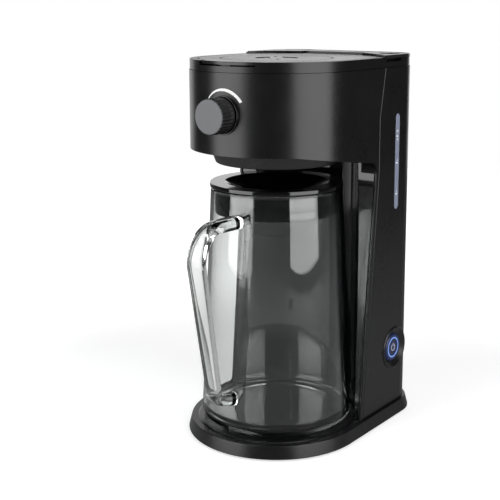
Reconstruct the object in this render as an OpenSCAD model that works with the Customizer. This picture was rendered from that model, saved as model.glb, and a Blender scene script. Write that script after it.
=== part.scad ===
// Iced tea maker: tank column, drum shaped brew head with two flap lids, base and glass jug.
// X runs across, the knob and the jug handle face -Y, Z is up from the table.

/* [Housing] */
// Width across the flat sides, which is also the diameter of the round front
body_w = 161; // [158:1:164]
// Distance from the jug's axis to the flat back
body_back = 130; // [128:1:134]
// Corner radius of the back
body_corner = 30; // [26:1:32]
// Wall of the moulded shells
shell_wall = 2.4; // [1.8:0.1:2.8]
// Height of the head from its underside at the front to the parting line
head_h = 72.6; // [70:0.2:76]
// How much lower the head's underside is where it meets the column
rear_drop = 13; // [11:1:14]
// Radius of the corner between the head's underside and the side strips
bay_corner_r = 12; // [8:1:13]
// Where the bay's edge on the side stands at the base
bay_edge_low = 25.5; // [22:0.5:30]
// Where the bay's edge on the side stands under the head
bay_edge_high = 48.3; // [46:0.3:49]
// Width of the strip between the bay's edge and the seam
strip_w = 4.2; // [3.6:0.2:5]
// Gap left at visible seams
seam = 0.3; // [0.2:0.1:0.5]

/* [Base] */
// How far the base stands out past the housing's sides and front
base_margin = 5.5; // [4.5:0.5:7]
// How far the base stands out past the housing's back
back_margin = 6; // [5:0.5:8]
// Height of the base's upper face
base_h = 14; // [13:0.5:15]
// Wall of the base
base_wall = 3; // [2.5:0.5:3.5]
// Height of the plateau over the base's upper face
plateau_h = 1; // [0.6:0.2:1.4]
// Width of the flat that shows in front of the plateau
plateau_gap = 1.5; // [1.2:0.1:2.5]
// Width of the satin border round the stand plate
border_w = 9; // [7:1:12]
// Radius of a foot
foot_r = 8; // [6:1:9]
// Height of the base's lower edge over the table
foot_h = 2; // [1.6:0.2:2.4]

/* [Column] */
// Radius of the concave panel about the jug's axis
bay_r = 77.5; // [76.5:0.5:78.5]
// Thickness of the concave panel
panel_t = 2.4; // [2:0.2:2.8]
// Length of the water level window
window_len = 93; // [88:1:98]
// How far the window's upper end lies below the parting line
window_drop = 44.2; // [42:0.2:50]
// Width of the window
window_w = 8.5; // [7:0.5:10]
// Distance of the window from the jug's axis
window_y = 87; // [84:1:90]
// Height of the power button's centre
button_z = 71.5; // [66:0.5:74]
// Distance of the power button from the jug's axis
button_y = 88; // [86:1:90]
// Radius of the button's bezel
bezel_r = 21.5; // [20:0.5:22]
// Radius of the push button
button_r = 13.6; // [12:0.2:14]
// How far the button travels
button_travel = 2.5; // [1.5:0.5:3]

/* [Lids] */
// Height of the brew lid's top over the parting line
lid_rise = 9.6; // [9.2:0.2:10]
// Height of the tank lid's top over the parting line
tank_lid_rise = 11.6; // [11.4:0.2:12]
// Width of the rim round the brew lid
rim_w = 8; // [7:0.5:9]
// Thickness of the brew lid
lid_t = 2.8; // [2.4:0.2:3]
// Thickness of the tank lid
tank_lid_t = 3; // [2.6:0.2:3.2]
// Radius of the brew lid's rear edge about the jug's axis
lid_arc_r = 97.2; // [96.6:0.2:97.6]
// Gap between the two lids
lid_gap = 2.2; // [2.2:0.1:2.6]
// Radius of the embossed circle on the brew lid
emboss_r = 52; // [48:1:54]
// Depth of embossed marks
emboss_d = 0.6; // [0.4:0.1:0.8]
// Direction of the grip bar between the two grip recesses
grip_angle = 128; // [110:2:140]
// Radius of the pair of grip recesses
grip_r = 26; // [22:1:30]
// Half width of the front finger tab
tab_half = 30; // [26:1:34]

/* [Hinges] */
// Distance of the brew lid's hinge axis from the jug's axis
hinge_y = 96; // [95.8:0.1:96.2]
// Radius of the brew lid's hinge barrel, which is flush with the lid's top
hinge_r = 2.2; // [2:0.1:2.4]
// Half length of the brew lid's hinge
hinge_half = 34; // [33:0.5:36]
// Radius of the brew lid's pin
lid_pin_r = 1; // [0.8:0.1:1.2]
// Distance of the tank lid's hinge axis from the jug's axis
tank_hinge_y = 119.6; // [119:0.2:120]
// Radius of the tank lid's hinge barrel, which is flush with the lid's top
tank_hinge_r = 4.2; // [4:0.1:4.4]
// Half length of the tank lid's hinge
tank_hinge_half = 63; // [58:1:63]
// Radius of the tank lid's pin
tank_pin_r = 1.6; // [1.4:0.1:1.8]
// Running clearance of the pins and spindles
running = 0.06; // [0.02:0.01:0.09]

/* [Strength control] */
// Height of the knob's axis over the head's underside
knob_rise = 36; // [32:1:40]
// Radius of the knob
knob_r = 16; // [14:0.5:17]
// Length of the knob
knob_len = 17; // [14:0.5:19]
// Number of flutes round the knob
knob_flutes = 30; // [20:1:36]
// Radius of one flute
flute_r = 0.9; // [0.6:0.1:1.1]
// Radius of the dark collar
collar_r = 17.4; // [17:0.2:18]
// Radius of the spindle
spindle_r = 3; // [2.5:0.1:3.4]
// Radius of the valve plug
plug_r = 5; // [4.5:0.1:5.4]

/* [Brewing] */
// Outer radius of the basket holder's bottom
bowl_low_r = 57; // [56:0.5:58]
// Outer radius of the basket holder where it enters the head
bowl_mid_r = 62.2; // [61.6:0.2:63]
// How far the basket holder hangs below the head's underside at the front
bowl_drop = 13.6; // [13:0.2:14]
// Wall of the basket holder
bowl_wall = 2.2; // [1.8:0.1:2.4]
// Outer radius of the basket's rim
basket_r = 61; // [60:0.5:61.5]
// Wall of the basket and of the spray head
thin_wall = 1.6; // [1.2:0.1:1.8]
// Radius of the spray head
spray_r = 50; // [46:1:52]
// Depth of the spray head
spray_depth = 8.6; // [8:0.2:9]
// Depth of the spray head's channels
channel_depth = 5.6; // [5:0.2:6]

/* [Water path] */
// Height of the tank's floor
tank_low = 150; // [145:1:156]
// Wall of the water tank
tank_wall = 2; // [1.6:0.1:2.2]
// Height of the heater's water tube over the table
heater_z = 45; // [42:1:50]
// Radius of the bend of the horseshoe heater
heater_bend = 30; // [28:1:31]
// Outer radius of the heater's water tube
heater_tube_r = 5.5; // [5:0.1:6]
// Radius of the heating rod
heater_rod_r = 4.2; // [3.8:0.1:4.6]
// Outer radius of the hoses
hose_r = 6; // [5.4:0.1:6.4]
// Inner radius of the hoses and outer radius of the spigots they sit on
spigot_r = 4; // [3.6:0.1:4.2]
// Bore of the water path
water_bore = 2.6; // [2.2:0.1:3]

/* [Jug] */
// Outer radius of the jug at its rim
jug_rim_r = 62; // [61:0.5:63]
// Outer radius of the jug at its widest, just over the floor
jug_wide_r = 72.3; // [71:0.3:72.6]
// Height of the jug from its foot to its rim
jug_h = 225; // [222:1:226]
// Wall of the glass
glass_wall = 3; // [2.6:0.1:3.4]
// Thickness of the glass floor
glass_floor = 7; // [5:0.5:9]
// Width of the handle's strap
handle_w = 20; // [17:1:22]
// Height of the handle's upper edge over the table
handle_top = 221; // [218:0.5:223]
// Height of the handle's lower edge over the table
handle_low = 44; // [40:1:50]
// Reach of the handle from the jug's axis, where its top edge would meet its front edge
handle_reach = 128; // [126:0.5:131]
// Reach of the handle where its front edge would meet its lower edge
handle_low_reach = 98.5; // [97:0.5:101]
// Radius of the handle's upper bend
handle_bend = 31; // [28:1:33]
// Thickness of the handle's strap
strap_t = 9.5; // [8.5:0.5:10.5]
// Gap at the jug lid's neck
neck_gap = 1; // [0.8:0.1:1.4]
// Depth of the jug lid's skirt below the rim
skirt_h = 24; // [18:1:28]
// Height of the jug lid's flange over the rim
flange_h = 4; // [3:0.5:5]
// Room between the jug's lid and the basket holder
jug_room = 18.8; // [16:0.2:22]

/* [Fasteners] */
// Radius of a screw's shank
screw_r = 1.8; // [1.6:0.1:2]
// Radius of a screw's head
screw_head_r = 3.4; // [3:0.1:3.6]
// Length of the screws under the base
base_screw_len = 8; // [7:1:9]
// Length of the screws that hold the housing
housing_screw_len = 16; // [14:1:16]

/* [Hidden] */

$fn = 96;
// A cut runs this far past the face it opens
past = 1;
// Two pieces of one body that touch keep this much air
touch = 0.2;

body_r = body_w / 2;
base_w = body_w + 2 * base_margin;
base_back = body_back + back_margin;
base_corner = body_corner + back_margin;
base_r = base_w / 2;
plateau_r = base_r - border_w - plateau_gap;
very_wide = 2 * base_w;

// The part stands with the middle of its outline on the origin
handle_lean = atan((handle_reach - handle_low_reach) / (handle_top - handle_low - 8));
handle_front = handle_reach - handle_bend * ((1 + sin(handle_lean)) / cos(handle_lean) - 1);
axis_y = (handle_front - base_back) / 2;

// Heights, from the table up
stand_top = base_h + plateau_h;
jug_foot = stand_top + seam;
jug_rim = jug_foot + jug_h;
lid_flange_top = jug_rim + seam + flange_h;
bowl_low = lid_flange_top + jug_room;
head_low = bowl_low + bowl_drop;
head_rear_low = head_low - rear_drop;
head_top = head_low + head_h;
knob_z = head_low + knob_rise;
window_high = head_top - window_drop;
window_low = window_high - window_len;
lid_top = head_top + lid_rise;
tank_lid_top = head_top + tank_lid_rise;
over_all = head_top + 60;

black = "#1c1c1d";
gloss_black = "#0b0b0c";
grey = "#6e6e70";
silver = "#b9bbbd";
clear = [0.8, 0.86, 0.9, 0.35];
smoke = [0.45, 0.5, 0.55, 0.6];
white = "#e8e8e6";
silicone = "#d8d6cf";

// Heights of the two lids' undersides and of the deck that carries them
lid_under = lid_top - lid_t;
deck_top = lid_under - 0.6;
deck_t = 2.5;
deck_low = deck_top - deck_t;
tank_lid_under = tank_lid_top - tank_lid_t;
tank_seat = tank_lid_under - touch;
hinge_z = lid_top - hinge_r;
tank_hinge_z = tank_lid_top - tank_hinge_r;
tank_arc_r = lid_arc_r + lid_gap;
frame_inset = 0.6;
frame_low = head_top + seam;

// Rear strip of the top frame, behind the tank lid
rear_strip_y = tank_hinge_y + tank_hinge_r + 1;
// At the rear corners the tank lid ends before its barrel, so that it clears the frame
corner_lid_y = tank_hinge_y - tank_hinge_r - 0.7;
corner_strip_y = corner_lid_y + 2.6;

// Basket holder's top, its flange and the posts that it hangs from
chamber_top = deck_low - 4.8;
flange_r = 72.5;
post_r = 4;
post_ring = 69.4;

// Where the bay's edge stands at a height on the side, and the two seams that follow it
edge_slope = (bay_edge_high - bay_edge_low) / (head_rear_low - bay_corner_r - base_h);
function bay_edge(z) = bay_edge_low + (z - base_h) * edge_slope;
seam_top_y = bay_edge_high + strip_w + 9.4;
seam_knee_z = head_top - 46.1;

// Centre of the corner between the head's underside and the strips
bay_corner_y = bay_edge_high - bay_corner_r;
bay_corner_z = head_rear_low - bay_corner_r;
slope_start = -55;

function arc_points(c, r, a0, a1, n) =
    [for (i = [0:n]) c + r * [cos(a0 + (a1 - a0) * i / n), sin(a0 + (a1 - a0) * i / n)]];

// Corner b of the path a, b, c rounded to radius r, as points along the arc
function unit(v) = v / norm(v);
function rounded(a, b, c, r, n = 10) =
    let (u = unit(a - b), w = unit(c - b), half = acos(u * w) / 2, m = unit(u + w),
         centre = b + m * r / sin(half),
         p0 = b + u * r / tan(half), p1 = b + w * r / tan(half),
         a0 = atan2(p0[1] - centre[1], p0[0] - centre[0]),
         a1 = atan2(p1[1] - centre[1], p1[0] - centre[0]),
         turn = a1 - a0 > 180 ? a1 - a0 - 360 : a1 - a0 < -180 ? a1 - a0 + 360 : a1 - a0)
    [for (i = [0:n]) centre + r * [cos(a0 + turn * i / n), sin(a0 + turn * i / n)]];

module place() {
    translate([0, axis_y, 0]) children();
}

// Plan with a round front, flat sides and a flat back with rounded corners
module plan(r, back, corner) {
    circle(r);
    translate([-r, 0]) square([2 * r, back - corner]);
    translate([-(r - corner), 0]) square([2 * (r - corner), back]);
    for (s = [-1, 1]) translate([s * (r - corner), back - corner]) circle(corner);
}

module body_plan(inset) {
    plan(body_r - inset, body_back - inset, body_corner - inset);
}

module base_plan(inset) {
    plan(base_r - inset, base_back - inset, base_corner - inset);
}

module body_block(inset, z0, z1) {
    translate([0, 0, z0]) linear_extrude(z1 - z0) body_plan(inset);
}

module base_block(inset, z0, z1) {
    translate([0, 0, z0]) linear_extrude(z1 - z0) base_plan(inset);
}

// A side view outline in Y and Z, carried across the width w
module across(w) {
    rotate([90, 0, 90]) linear_extrude(w, center = true) children();
}

// A round bar along X
module bar_x(r, x0, x1) {
    translate([x0, 0, 0]) rotate([0, 90, 0]) cylinder(r = r, h = x1 - x0);
}

// A round bar that points to -Y
module bar_front(r, len) {
    rotate([90, 0, 0]) cylinder(r = r, h = len);
}

// Side view of all that lies above the head's underside, raised by t
module above_underside(t) {
    polygon(concat(
        [[-base_w, head_low + t], [slope_start, head_low + t],
         [bay_corner_y - 3, head_rear_low + t]],
        arc_points([bay_corner_y, bay_corner_z], bay_corner_r + t, 90, 0, 10),
        [[bay_edge_low + t, base_h], [base_w, base_h],
         [base_w, head_top + 50], [-base_w, head_top + 50]]));
}

// Side view of all that lies behind the bay's edge, moved back by t
module behind_edge(t, top) {
    polygon([[bay_edge_low + t, base_h], [bay_edge(top) + t, top],
             [base_w, top], [base_w, base_h]]);
}

// Side view of all that lies behind the seam, moved back by t
module behind_seam(t) {
    polygon([[bay_edge_low + strip_w + t, base_h],
             [bay_edge_high + strip_w + t, bay_corner_z],
             [bay_edge_high + strip_w + t, seam_knee_z],
             [seam_top_y + t, head_top + past],
             [base_w, head_top + past], [base_w, base_h]]);
}

module hinge_axis() {
    translate([0, hinge_y, hinge_z]) children();
}

module tank_hinge_axis() {
    translate([0, tank_hinge_y, tank_hinge_z]) children();
}

// Base

base_screw_spots = [[-52, -42], [52, -42], [-58, 92], [58, 92]];
housing_screw_spots = [[-66, 66], [66, 66], [-24, 120], [24, 120]];
foot_spots = [[0, -68], [-66, 10], [66, 10], [-50, 112], [50, 112]];
plate_t = 2;
plate_inset = base_wall + 0.4;
lip = 1.6;

module base_shell() {
    color(black) place() difference() {
        union() {
            base_block(0, foot_h + lip, base_h - lip);
            base_block(lip / 2, foot_h + lip / 2, base_h - lip / 2);
            base_block(lip, foot_h, base_h);
        }
        difference() {
            base_block(base_wall, foot_h - past, base_h - base_wall);
            for (p = base_screw_spots) translate([p[0], p[1], foot_h + plate_t])
                cylinder(r = 2 * screw_r, h = base_h);
        }
        for (p = base_screw_spots) translate([p[0], p[1], 0])
            cylinder(r = screw_r, h = base_h - base_wall);
        for (p = housing_screw_spots) translate([p[0], p[1], 0])
            cylinder(r = screw_r + 0.3, h = base_h + past);
        translate([0, 0, base_h - stand_recess]) linear_extrude(stand_recess + past) stand_plan(0);
    }
}

module base_plate() {
    color(black) place() difference() {
        base_block(plate_inset, foot_h, foot_h + plate_t - touch);
        for (p = base_screw_spots) translate([p[0], p[1], 0]) cylinder(r = screw_r + 0.3, h = base_h);
        for (p = housing_screw_spots) translate([p[0], p[1], 0]) cylinder(r = screw_head_r + 1, h = base_h);
    }
}

stand_recess = 1.6;

// Gloss field of the base, in front of the column and in its bay
module stand_plan(inset) {
    intersection() {
        base_plan(border_w + inset);
        union() {
            translate([-base_w, -base_w]) square([2 * base_w, base_w + bay_edge_low - 0.5 - inset]);
            circle(bay_r - inset);
        }
    }
}

module stand_plate() {
    z0 = base_h - stand_recess + touch;
    color(gloss_black) place() union() {
        translate([0, 0, z0]) linear_extrude(base_h - z0) stand_plan(seam);
        translate([0, 0, z0]) cylinder(r1 = plateau_r + 0.6, r2 = plateau_r, h = stand_top - z0);
    }
}

module feet() {
    color("#2a2a2b") place() for (p = foot_spots) translate([p[0], p[1], 0]) {
        cylinder(r1 = foot_r - 0.6, r2 = foot_r, h = foot_h);
    }
}

module screw_up(p, z0, len) {
    translate([p[0], p[1], z0]) {
        difference() {
            cylinder(r = screw_head_r, h = 1.6);
            translate([0, 0, -past]) cylinder(r = 1.4, h = past + 0.9);
        }
        cylinder(r = screw_r - 0.2, h = len);
    }
}

module base_screws() {
    color(silver) place() for (p = base_screw_spots) screw_up(p, foot_h - 1.6, base_screw_len);
}

module housing_screws() {
    color(silver) place() for (p = housing_screw_spots)
        screw_up(p, base_h - base_wall - 1.8, housing_screw_len);
}

// Shells

// Underside of the head, with a flat field over the bay and a wall round it
module head_floor() {
    wall_r = bay_r + panel_t + seam;
    difference() {
        intersection() {
            body_block(0.4, head_low - 40, head_top - 20);
            difference() {
                across(very_wide) above_underside(0);
                across(very_wide) above_underside(shell_wall);
            }
            translate([-base_w, -base_w, bay_corner_z])
                cube([2 * base_w, base_w + bay_edge_high + shell_wall, head_top]);
        }
        translate([0, 0, bay_corner_z - past])
            cylinder(r = wall_r, h = head_rear_low - bay_corner_z + past);
    }
    intersection() {
        translate([0, 0, head_rear_low]) cylinder(r = bay_r + panel_t + 0.9, h = shell_wall);
        translate([-base_w, bay_corner_y - 3, 0]) cube([2 * base_w, base_w, head_top]);
        body_block(0.4, head_low - 40, head_top - 20);
    }
    intersection() {
        translate([0, 0, bay_corner_z]) difference() {
            cylinder(r = wall_r + shell_wall, h = bay_corner_r + shell_wall);
            translate([0, 0, -past]) cylinder(r = wall_r, h = bay_corner_r + shell_wall + 2 * past);
        }
        across(very_wide) above_underside(0);
        body_block(0.4, bay_corner_z, head_top - 20);
        translate([-base_w, bay_corner_y - 3, 0]) cube([2 * base_w, 18, head_top]);
    }
}

// Fall of the basket holder's floor towards its outlet
floor_fall = 1.4;
bowl_slope = (bowl_mid_r - bowl_low_r) / (head_low - bowl_low - 2);

module bowl_hole(gap) {
    rise = 20;
    translate([0, 0, bowl_low - past]) cylinder(r = bowl_low_r + gap, h = past + 2.1);
    translate([0, 0, bowl_low + 2])
        cylinder(r1 = bowl_low_r + gap, r2 = bowl_low_r + gap + rise * bowl_slope, h = rise);
}

module front_housing() {
    color(black) place() difference() {
        union() {
            difference() {
                intersection() {
                    body_block(0, base_h + seam, head_top);
                    across(very_wide) above_underside(0);
                }
                body_block(shell_wall, base_h - past, head_top + past);
                across(very_wide) behind_seam(0);
            }
            head_floor();
        }
        bowl_hole(0.8);
        translate([0, -body_r + 10, knob_z]) bar_front(collar_r + 0.1, 20);
    }
}

boss_r = 4.5;

module rear_housing() {
    color(black) place() difference() {
        union() {
            difference() {
                intersection() {
                    body_block(0, base_h + touch, head_top);
                    across(very_wide) behind_seam(seam);
                }
                body_block(shell_wall, base_h - past, head_top + past);
            }
            for (p = housing_screw_spots) translate([p[0], p[1], base_h + touch])
                cylinder(r = boss_r, h = 14);
            rear_boss_webs();
            tank_ledges();
        }
        for (p = housing_screw_spots) translate([p[0], p[1], base_h - past])
            cylinder(r = screw_r - 0.1, h = 14);
        translate([0, window_y, 0]) window_cut(seam / 2, body_r - 6, body_r + 6);
        translate([0, button_y, button_z]) bar_x(bezel_r - 2.4, body_r - 6, body_r + 6);
        translate([gland_x, body_back + 5, gland_z]) bar_front(gland_r - 1.4, 12);
    }
}

// Webs that tie the screw bosses to the walls
module rear_boss_webs() {
    for (p = housing_screw_spots) {
        side = p[0] > 0 ? 1 : -1;
        if (abs(p[0]) > 40)
            translate([side > 0 ? p[0] : -body_r + 1, p[1] - 1, base_h + touch])
                cube([body_r - 1 - abs(p[0]), 2, 14]);
        else
            translate([p[0] - 1, p[1], base_h + touch]) cube([2, body_back - 1 - p[1], 14]);
    }
}

// Ledges on the walls that the tank stands on
module tank_ledges() {
    w = 12;
    t = 4;
    for (s = [-1, 1]) translate([s > 0 ? body_r - 1 - w : 1 - body_r, 88, tank_low - touch - t]) cube([w, 14, t]);
    for (x = [-34, 20]) translate([x, body_back - 1 - w, tank_low - touch - t]) cube([14, w, t]);
}

module window_cut(gap, x0, x1) {
    r = window_w / 2 + gap;
    for (z = [window_low + window_w / 2, window_high - window_w / 2])
        translate([0, 0, z]) bar_x(r, x0, x1);
    translate([x0, -r, window_low + window_w / 2])
        cube([x1 - x0, 2 * r, window_high - window_low - window_w]);
}

module level_window() {
    color(smoke) place() translate([0, window_y, 0]) {
        window_cut(0, body_r - shell_wall - 0.6, body_r - 0.5);
        translate([body_r - shell_wall - 1.8, -window_w / 2 - 2, window_low - 2])
            cube([1.6, window_w + 4, window_high - window_low + 4]);
    }
}

module column_panel() {
    color(gloss_black) place() difference() {
        intersection() {
            body_block(shell_wall + seam, base_h + touch, head_rear_low - touch);
            across(very_wide) behind_edge(panel_set, head_rear_low + past);
        }
        translate([0, 0, base_h - past]) cylinder(r = bay_r, h = head_top);
        difference() {
            across(very_wide) behind_edge(panel_set + panel_t, head_top);
            cylinder(r = bay_r + panel_t, h = head_top);
        }
        // The wings end under the corner of the head
        difference() {
            translate([-base_w, 0, bay_corner_z - seam]) cube([2 * base_w, base_w, head_top]);
            cylinder(r = bay_r + panel_t, h = head_top);
        }
    }
}

panel_set = 0.8;
gland_x = -38;
gland_z = 34;
gland_r = 6.5;

module cord_gland() {
    color(black) place() translate([gland_x, body_back - shell_wall - 1.4, gland_z])
        rotate([-90, 0, 0]) difference() {
            union() {
                cylinder(r = gland_r - 1.5, h = shell_wall + 3);
                cylinder(r = gland_r, h = 1.2);
                translate([0, 0, shell_wall + 1.6]) cylinder(r1 = gland_r, r2 = gland_r - 1, h = 1.8);
            }
            translate([0, 0, -past]) cylinder(r = 3.4, h = shell_wall + 8);
        }
}

// Top frame: outer ring, deck, hinge ears and rear strip

ear_w = 6;
ear_x = [-23, 23];
tank_ear_x = [-43, 43];
channel_half = 8;
bypass_half = 5;
channel_end = 91;
tank_opening_r = 104;
trough_front = tank_hinge_y - tank_hinge_r - 0.8;
trough_z = tank_hinge_z - tank_hinge_r - 0.5;
basket_opening = 64.6;

// Plan of everything behind the arc between the lids
module behind_arc(r, front) {
    difference() {
        children();
        circle(r);
        translate([-notch_half, 0]) square([2 * notch_half, front]);
    }
}

tank_lid_front = hinge_y + hinge_r + 0.7;
notch_half = hinge_half + 2;

module tank_lid_plan() {
    behind_arc(tank_arc_r, tank_lid_front) intersection() {
        body_plan(0.2);
        translate([-base_w, base_r - 40]) square([2 * base_w, base_w]);
    }
}

module frame_solid() {
    body_block(frame_inset, frame_low, tank_seat);
    // Front rim stands up to the brew lid's top
    difference() {
        body_block(frame_inset, frame_low, lid_top);
        translate([0, 0, deck_top]) linear_extrude(20) tank_lid_plan();
    }
    // Rear strip behind the tank lid's barrel
    intersection() {
        body_block(frame_inset, frame_low, tank_lid_top);
        union() {
            translate([-base_w, rear_strip_y, 0]) cube([2 * base_w, base_w, over_all]);
            for (s = [-1, 1]) translate([s * (tank_hinge_half + 1) - (s < 0 ? 40 : 0), corner_strip_y, 0])
                cube([40, 40, over_all]);
        }
    }
}

module lid_plan(inset, arc) {
    intersection() {
        body_plan(rim_w + inset);
        circle(arc);
    }
    intersection() {
        body_plan(rim_w + inset);
        translate([-hinge_half - 0.5 + inset, 60]) square([2 * hinge_half + 1 - 2 * inset, hinge_y - 60]);
    }
}

module front_tab(inset) {
    intersection() {
        circle(body_r - 3 - inset);
        translate([-tab_half + inset, -base_r]) square([2 * (tab_half - inset), 30]);
    }
}

// Box under the deck that the tank lid's barrel turns in
module trough_box() {
    intersection() {
        body_block(frame_inset, trough_z - 2, deck_top);
        translate([-tank_hinge_half - 2.5, trough_front - 2, trough_z - 2])
            cube([2 * tank_hinge_half + 5, rear_strip_y - trough_front + 4, deck_low - trough_z + 2.5]);
    }
}

module frame_cuts() {
    // Pocket for the brew lid
    translate([0, 0, deck_top]) linear_extrude(20) lid_plan(0, lid_arc_r + lid_gap);
    translate([-notch_half, hinge_y - 16, deck_top]) cube([2 * notch_half, tank_lid_front - hinge_y + 16, 20]);
    translate([-hinge_half - 0.5, hinge_y - hinge_r - 0.5, hinge_z - hinge_r - 0.5])
        cube([2 * hinge_half + 1, tank_lid_front - hinge_y + hinge_r + 0.5, 20]);
    // Finger notch under the front tab
    translate([0, 0, deck_top - 0.6]) linear_extrude(20) intersection() {
        circle(base_r);
        translate([-tab_half - 1, -base_r]) square([2 * tab_half + 2, 30]);
    }
    // Basket opening and the slots for the spray head's channels
    translate([0, 0, deck_low - past]) cylinder(r = basket_opening, h = 20);
    translate([-channel_half - 1.5, 50, deck_low - past])
        cube([2 * channel_half + 3, channel_end + 1 - 50, 20]);
    translate([-bypass_half - 1.5, valve_y - 5.2, deck_low - past])
        cube([2 * bypass_half + 3, 26, 20]);
    // Tank opening
    translate([0, 0, deck_low - past]) linear_extrude(20) difference() {
        body_plan(rim_w + 2);
        circle(tank_opening_r);
        translate([-base_w, trough_front - 3]) square([2 * base_w, base_w]);
        translate([-base_w, -base_w]) square([2 * base_w, base_w + 66]);
    }
    // Trough for the tank lid's barrel
    translate([-tank_hinge_half - 0.5, trough_front, trough_z])
        cube([2 * tank_hinge_half + 1, rear_strip_y - trough_front, 20]);
    // Finger notch under the side of the tank lid
    translate([body_r - 7, 63, tank_seat - 3]) cube([20, 28, 20]);
}

module top_frame() {
    color(black) place() difference() {
        union() {
            difference() {
                union() {
                    difference() {
                        frame_solid();
                        body_block(shell_wall + frame_inset, frame_low - past, deck_low);
                    }
                    trough_box();
                }
                frame_cuts();
            }
            brew_ears();
            tank_ears();
            posts();
        }
        hinge_axis() bar_x(lid_pin_r + running, -hinge_half, hinge_half);
        tank_hinge_axis() bar_x(tank_pin_r + running, -tank_hinge_half + 4, tank_hinge_half - 4);
        for (a = post_angles) rotate(a) translate([post_ring, 0, chamber_top - past])
            cylinder(r = screw_r - 0.4, h = 6);
    }
}

module brew_ears() {
    for (x = ear_x) translate([x - ear_w / 2, 0, 0]) {
        hinge_axis() bar_x(hinge_r - 0.2, 0, ear_w);
        translate([0, hinge_y - hinge_r + 0.2, deck_low])
            cube([ear_w, 2 * hinge_r - 0.4, hinge_z - deck_low]);
    }
}

module tank_ears() {
    for (x = tank_ear_x) translate([x - ear_w / 2, 0, 0]) {
        tank_hinge_axis() bar_x(tank_hinge_r - 0.4, 0, ear_w);
        translate([0, tank_hinge_y - tank_hinge_r + 0.4, trough_z - 1])
            cube([ear_w, 2 * tank_hinge_r - 0.8, tank_hinge_z - trough_z + 1]);
    }
}

post_angles = [30, 150, 210, 330];

module posts() {
    for (a = post_angles) rotate(a) translate([post_ring, 0, chamber_top + touch])
        cylinder(r = post_r, h = deck_top - chamber_top - touch);
}

// Lids

module barrel_gaps(xs, extra) {
    for (x = xs) translate([x - ear_w / 2 - seam, -extra, -extra]) cube([ear_w + 2 * seam, 2 * extra, 2 * extra]);
}

module brew_lid() {
    cut_z = lid_top - emboss_d;
    color(black) place() difference() {
        union() {
            translate([0, 0, lid_under]) linear_extrude(lid_t - 0.7) {
                lid_plan(seam, lid_arc_r);
                front_tab(0);
            }
            translate([0, 0, lid_under]) linear_extrude(lid_t) {
                lid_plan(seam + 0.6, lid_arc_r - 0.6);
                front_tab(0.6);
            }
            hinge_axis() bar_x(hinge_r, -hinge_half, hinge_half);
        }
        // Behind the hinge only the barrel remains
        translate([-hinge_half, hinge_y, lid_under - past]) difference() {
            cube([2 * hinge_half, 20, 20]);
            translate([0, 0, hinge_z - lid_under + past]) bar_x(hinge_r, -past, 2 * hinge_half + past);
        }
        hinge_axis() barrel_gaps(ear_x, hinge_r + 0.6);
        hinge_axis() bar_x(lid_pin_r + running, -hinge_half - past, hinge_half + past);
        // Embossed circle
        translate([0, 0, cut_z]) difference() {
            cylinder(r = emboss_r + 0.8, h = past);
            translate([0, 0, -past]) cylinder(r = emboss_r - 0.8, h = 3 * past);
        }
        // Two half moon grip recesses either side of the grip bar
        rotate(grip_angle) for (s = [-1, 1]) translate([0, 0, cut_z]) linear_extrude(past)
            intersection() {
                circle(grip_r - 6);
                translate([-grip_r, s > 0 ? 6 : -grip_r - 6]) square([2 * grip_r, grip_r]);
            }
        // Steam slots at the ends of the grip bar
        rotate(grip_angle) for (s = [-1, 1]) translate([s * 24, 0, lid_under - past])
            steam_slot(11, 2.4, lid_t + 2 * past);
    }
}

module steam_slot(len, w, h) {
    for (s = [-1, 1]) translate([s * (len - w) / 2, 0, 0]) cylinder(r = w / 2, h = h);
    translate([-(len - w) / 2, -w / 2, 0]) cube([len - w, w, h]);
}

module brew_lid_pin() {
    color(silver) place() hinge_axis() bar_x(lid_pin_r, -hinge_half + 1, hinge_half - 1);
}

spray_floor = lid_under - spray_depth;
channel_floor = lid_under - channel_depth;

module spray_head() {
    color(black) place() difference() {
        union() {
            translate([0, 0, spray_floor]) cylinder(r = spray_r, h = lid_under - spray_floor);
            translate([-channel_half, spray_r - 6, channel_floor])
                cube([2 * channel_half, channel_end - spray_r + 6, lid_under - channel_floor]);
            translate([-bypass_half, valve_y - 4, channel_floor])
                cube([2 * bypass_half, 30, lid_under - channel_floor]);
        }
        translate([0, 0, spray_floor + thin_wall]) cylinder(r = spray_r - thin_wall, h = 20);
        translate([-channel_half + thin_wall, 0, channel_floor + thin_wall])
            cube([2 * (channel_half - thin_wall), channel_end - thin_wall, 20]);
        translate([-bypass_half + thin_wall, valve_y - 4 + thin_wall, channel_floor + thin_wall])
            cube([2 * (bypass_half - thin_wall), 40, 20]);
        translate([0, valve_y, channel_floor - past]) cylinder(r = port_r, h = 2 * past + thin_wall);
        translate([0, riser_y, channel_floor - past]) cylinder(r = water_bore, h = 2 * past + thin_wall);
        for (ring = [[0, 1], [16, 6], [30, 10], [42, 14]])
            for (i = [0:ring[1] - 1]) rotate(i * 360 / ring[1]) translate([ring[0], 0, spray_floor - past])
                cylinder(r = 1.3, h = thin_wall + 2 * past, $fn = 24);
    }
}

riser_y = bay_r + panel_t + hose_r + 0.6;
seal_h = 1.4;

module spout_seal() {
    color(silicone) place() translate([0, riser_y, channel_floor - touch - seal_h]) difference() {
        cylinder(r = hose_r - 0.6, h = seal_h);
        translate([0, 0, -past]) cylinder(r = water_bore, h = seal_h + 2 * past);
    }
}

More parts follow.
